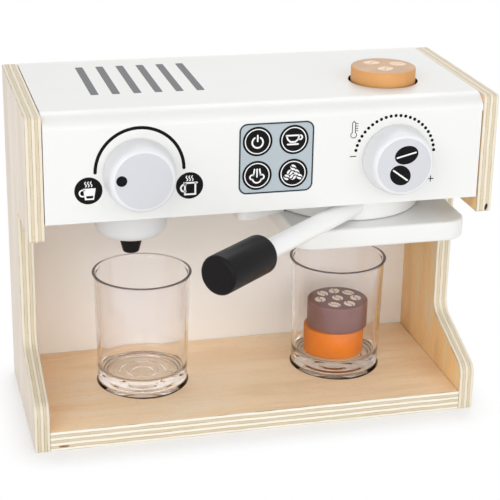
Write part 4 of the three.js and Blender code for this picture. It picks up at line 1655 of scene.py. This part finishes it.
@dataclass
class Cup:
    """A clear cup with a slight taper, a round lip, a thick floor and rings moulded under it."""

    side: Side
    foot_radius: float = 0.0275
    neck_radius: float = 0.0292
    wall: float = 0.0017
    floor: float = 0.0108
    hollow: float = 0.0025
    hollow_round: float = 0.0006
    foot_rim: float = 0.003
    foot_inner_round: float = 0.0005
    foot_round: float = 0.0009
    lip: float = 0.0022
    lip_round: float = 0.0005
    lip_reflection_band: float = 0.0007
    inner_round: float = 0.0045
    ring_radii: tuple[float, ...] = (0.008, 0.016)
    ring_height: float = 0.0007
    ring_width: float = 0.0024
    ring_round: float = 0.0006

    def section(self, node: NodeBox) -> list[Corner]:
        """The cup's section from its underside, round the lip, to its floor.

        Args:
            node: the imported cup's box.

        Returns:
            Radius, height and rounding of each corner.
        """
        height, rim = node.size.z, node.size.x / 2
        under: list[Corner] = []
        for radius in self.ring_radii:
            under += [
                (radius - self.ring_width, self.hollow, self.ring_round),
                (radius - self.ring_width / 2, self.hollow - self.ring_height, self.ring_round),
                (radius + self.ring_width / 2, self.hollow - self.ring_height, self.ring_round),
                (radius + self.ring_width, self.hollow, self.ring_round),
            ]
        return under + [
            (self.foot_radius - self.foot_rim - self.hollow, self.hollow, self.hollow_round),
            (self.foot_radius - self.foot_rim, 0.0, self.foot_inner_round),
            (self.foot_radius, 0.0, self.foot_round),
            (self.neck_radius, height - self.lip, self.lip_round),
            (rim, height - self.lip_round, self.lip_round),
            (rim, height, self.lip_round),
            (rim - self.wall, height, self.lip_round),
            (self.neck_radius - self.wall, height - self.lip, self.lip_round),
            (self.foot_radius - self.wall, self.floor, self.inner_round),
        ]

    def make(self) -> None:
        """Makes the cup."""
        node = NodeBox(f"{self.side.word}_cup")
        cup = turned(f"{self.side.word}_tumbler", self.section(node), upright(node.foot),
                     steps=160, round_steps=6)
        cup.visible_shadow = False
        dress(cup, CLEAR_STYRENE, LIP_REFLECTION_STYRENE)
        # The top of the lip gets the painted reflection.
        give_faces(cup, 1, lambda face: face.center.z > node.high.z - self.lip_reflection_band)
        settle(cup, f"cup_{self.side.word}", "clear_plastic", node.name)


@dataclass
class CoffeeDisc:
    """A painted wooden disc, with coffee beans printed on its top where it has them."""

    name: str
    paint: Finish
    top: Finish
    bean_ink: Finish | None = None
    bean_spots: tuple[tuple[float, float, float], ...] = ()
    bean_length: float = 0.0043
    bean_width: float = 0.0034
    cleft: float = 0.0007
    edge: float = 0.0008

    def make(self) -> None:
        """Makes the disc and its beans."""
        node = NodeBox(f"coffee_disc_{self.name}")
        radius, height, slot = node.size.x / 2, node.size.z, f"{self.name}_paint"
        disc = turned(f"{self.name}_puck", [(radius, 0.0, self.edge), (radius, height, self.edge)],
                      upright(node.foot), round_steps=4)
        dress(disc, self.paint, self.top)
        give_faces(disc, 1, lambda face: face.normal.z > FLAT)
        settle(disc, f"{self.name}_disc", slot, node.name)
        if self.bean_ink:
            top = upright(node.foot + Vector((0, 0, height)))
            beans = Print(f"{self.name}_puck_beans", top, self.bean_ink)
            for x, y, tilt in self.bean_spots:
                beans.bean(x, y, self.bean_length, self.bean_width, math.radians(tilt), self.cleft)
            beans.settle(f"{self.name}_disc", slot)


# Each bean's place round the brown disc and its turn, in degrees; one more lies in the middle.
BROWN_BEAN_TURNS = ((-11, 80), (37, 115), (84, 65), (129, 100), (181, 75), (243, 120), (293, 95))
BROWN_BEAN_RING = 0.0115
BROWN_BEANS = ((0.0, 0.0, 95.0),) + tuple(
    (*spun([(BROWN_BEAN_RING, 0.0)], 0.0, 0.0, [math.radians(around)])[0], float(tilt))
    for around, tilt in BROWN_BEAN_TURNS
)
# Place across, place backwards and turn in degrees of the caramel disc's three beans.
CARAMEL_BEANS = ((-0.0045, 0.0085, 20.0), (0.0098, 0.0032, -25.0), (-0.001, -0.0065, 35.0))


@dataclass
class Fasteners:
    """Zinc-plated screws with a cross slot, and the dowels and washers that stay as they are."""

    head_radius: float = 0.0036
    head_height: float = 0.0022
    dome_share: float = 0.8
    shank_radius: float = 0.00175
    slot_length: float = 0.0019
    slot_width: float = 0.00045
    slot_depth: float = 0.0013

    def screw(self, name: str, length: float, place: Matrix) -> bpy.types.Object:
        """Makes one screw whose head lies below the plane and whose shank points up.

        Args:
            name: the object's name.
            length: the shank's length.
            place: the plane under the head.

        Returns:
            The screw.
        """
        blank = turned(name, [
            (self.head_radius, -self.head_height, self.head_height * self.dome_share),
            (self.head_radius, 0.0, 0.0),
            (self.shank_radius, 0.0, 0.0),
            (self.shank_radius, length - self.shank_radius * 2, 0.0),
            (0.0, length, 0.0),
        ], place, steps=40, round_steps=6)
        low, high = -self.head_height - OVERRUN, -self.head_height + self.slot_depth
        return worked(blank, [
            board("slot", oblong((-a, a), (-b, b)), low, high, place)
            for a, b in ((self.slot_length, self.slot_width), (self.slot_width, self.slot_length))
        ])

    def make(self) -> None:
        """Makes the screws that show and dresses the other fasteners."""
        for name in sorted(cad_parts):
            node = NodeBox(name)
            if name.startswith("back_screw"):
                length = node.size.y - self.head_height
                place = facing_front(Vector((node.middle.x, node.high.y - self.head_height, node.middle.z)))
            elif name.startswith(("shelf_screw", "guide_screw")):
                length = node.size.z - self.head_height
                place = upright(node.foot + Vector((0, 0, self.head_height)))
            else:
                if "dowel" in name:
                    keep_node(name, BEECH)
                elif "screw" in name or "washer" in name:
                    keep_node(name, ZINC)
                continue
            screw = self.screw(name.replace("screw", "fixing"), length, place)
            settle(dress(screw, ZINC), "cabinet", "zinc_steel", name)


@dataclass(frozen=True)
class Lamp:
    """A soft square lamp: its place, what it points at, its side and its power in watts."""

    name: str
    at: Corner
    target: Corner
    size: float
    power: float

    def hang(self) -> None:
        """Adds the lamp to the scene."""
        light = bpy.data.lights.new(self.name, "AREA")
        light.size = self.size
        light.energy = self.power
        piece = bpy.data.objects.new(self.name, light)
        piece.location = self.at
        piece.rotation_euler = (Vector(self.target) - Vector(self.at)).to_track_quat("-Z", "Y").to_euler()
        bpy.context.scene.collection.objects.link(piece)


@dataclass
class Studio:
    """Plain pale floor, soft lamps, a white surround and the camera."""

    floor_colour: str = "FAFAFA"
    floor_half: float = 4.0
    footprint: Point2 = (0.12, 0.045)
    fade_end: float = 0.036
    ambient: float = 0.53
    # The key hangs at the upper left; the last lamp, behind, lights the roll of the head's top.
    lamps: tuple[Lamp, ...] = (
        Lamp("key", (-1.5, -1.7, 1.2), (0.0, 0.0, 0.1), 1.5, 15.5),
        Lamp("front", (1.2, -1.8, 1.1), (0.0, 0.0, 0.1), 1.5, 10.5),
        Lamp("low_front", (-0.1, -2.1, 0.5), (0.0, 0.0, 0.06), 1.0, 7.5),
        Lamp("left", (-2.0, -0.5, 0.8), (0.0, 0.0, 0.1), 1.2, 2.0),
        Lamp("behind", (0.4, 1.1, 1.4), (0.0, 0.0, 0.2), 1.0, 9.0),
    )
    camera_at: Corner = (-0.2155, -0.83942, 0.42886)
    yaw: float = math.radians(15.827)
    pitch: float = math.radians(21.108)
    roll: float = math.radians(1.519)
    focal_pixels: float = 1525.5
    frame_pixels: float = 500.0
    axis_pixel: Point2 = (278.0, 252.0)
    sensor: float = 36.0

    def world(self) -> None:
        """Lights the scene evenly and shows white to the camera and through gloss and glass."""
        world = bpy.data.worlds.new("white_surround")
        bpy.context.scene.world = world
        world.use_nodes = True
        tree = world.node_tree
        tree.nodes.clear()
        strength = add_node(tree, "MapRange", {"Value": self.seen(tree), "To Min": self.ambient})
        background = add_node(tree, "Background", {"Color": WHITE, "Strength": strength})
        add_node(tree, "OutputWorld", {"Surface": background})

    @staticmethod
    def seen(tree: bpy.types.NodeTree) -> bpy.types.Node:
        """1 for rays that show a surface: straight, in gloss or through glass.

        Args:
            tree: the node tree.

        Returns:
            The node that gives 0 or 1.
        """
        rays = add_node(tree, "LightPath").outputs
        seen: Any = rays["Is Camera Ray"]
        for other in (rays["Is Glossy Ray"], rays["Is Transmission Ray"]):
            seen = add_node(tree, "Math", {0: seen, 1: other}, operation="MAXIMUM")
        return seen

    def floor(self) -> None:
        """Lays the floor, which keeps the shadow near the toy and fades to white further out."""
        build = bmesh.new()
        ends = (-self.floor_half, self.floor_half)
        build.faces.new([build.verts.new((x, y, 0.0)) for x, y in oblong(ends, ends)])
        ground = finish_mesh("studio_floor", build)
        # Matt studio card: a soft grey shadow under the toy, and nothing else to look at.
        card = bpy.data.materials.new("pale_studio_floor")
        card.use_nodes = True
        tree = card.node_tree
        tree.nodes.clear()
        place: Any = add_node(tree, "TexCoord").outputs["Object"]
        for operation, inputs in (("ABSOLUTE", {}), ("SUBTRACT", {1: (*self.footprint, 0.0)}),
                                  ("MAXIMUM", {1: (0.0, 0.0, 0.0)}), ("LENGTH", {})):
            place = add_node(tree, "VectorMath", {0: place, **inputs}, operation=operation)
        fade = add_node(tree, "MapRange", {"Value": place.outputs["Value"], "From Max": self.fade_end},
                        interpolation_type="SMOOTHSTEP")
        share = add_node(tree, "Math", {0: fade, 1: self.seen(tree)}, operation="MULTIPLY")
        matt = add_node(tree, "BsdfDiffuse", {"Color": linear(self.floor_colour)})
        white = add_node(tree, "Emission", {"Color": WHITE, "Strength": 1.0})
        mixed = add_node(tree, "MixShader", {0: share, 1: matt, 2: white})
        add_node(tree, "OutputMaterial", {"Surface": mixed})
        ground.data.materials.append(card)

    def camera(self) -> None:
        """Sets the camera that was fitted to the photograph's corner points."""
        level = math.cos(self.pitch)
        forward = Vector((math.sin(self.yaw) * level, math.cos(self.yaw) * level, -math.sin(self.pitch)))
        right = Vector((math.cos(self.yaw), -math.sin(self.yaw), 0.0))
        up = right.cross(forward)
        across = right * math.cos(self.roll) + up * math.sin(self.roll)
        upwards = up * math.cos(self.roll) - right * math.sin(self.roll)
        lens = bpy.data.cameras.new("photo_camera")
        lens.sensor_width = self.sensor
        lens.lens = self.focal_pixels / self.frame_pixels * self.sensor
        half = self.frame_pixels / 2
        lens.shift_x = (half - self.axis_pixel[0]) / self.frame_pixels
        lens.shift_y = (self.axis_pixel[1] - half) / self.frame_pixels
        camera = bpy.data.objects.new("photo_camera", lens)
        facing = Matrix((across, upwards, -forward)).transposed().to_4x4()
        camera.matrix_world = Matrix.Translation(self.camera_at) @ facing
        bpy.context.scene.collection.objects.link(camera)
        bpy.context.scene.camera = camera

    def make(self) -> None:
        """Builds the studio."""
        self.world()
        self.floor()
        for lamp in self.lamps:
            lamp.hang()
        self.camera()
        bpy.context.scene.view_settings.view_transform = "Standard"


def main() -> None:
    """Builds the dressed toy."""
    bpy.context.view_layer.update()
    Studio().make()
    Cabinet().make()
    Head().make()
    for side in Side:
        Dial(side).make()
        Cup(side).make()
    Spout().make()
    UnderHead().make()
    Portafilter().make()
    CoffeeDisc("orange", ORANGE_PAINT, ORANGE_PAINT).make()
    CoffeeDisc("brown", BROWN_PAINT, BROWN_PAINT, BEAN_INK, BROWN_BEANS).make()
    CoffeeDisc("caramel", CARAMEL_PAINT, CARAMEL_TOP, PALE_BEAN_INK, CARAMEL_BEANS, bean_length=0.0052,
               bean_width=0.0042).make()
    Fasteners().make()


if __name__ == "__main__":
    main()
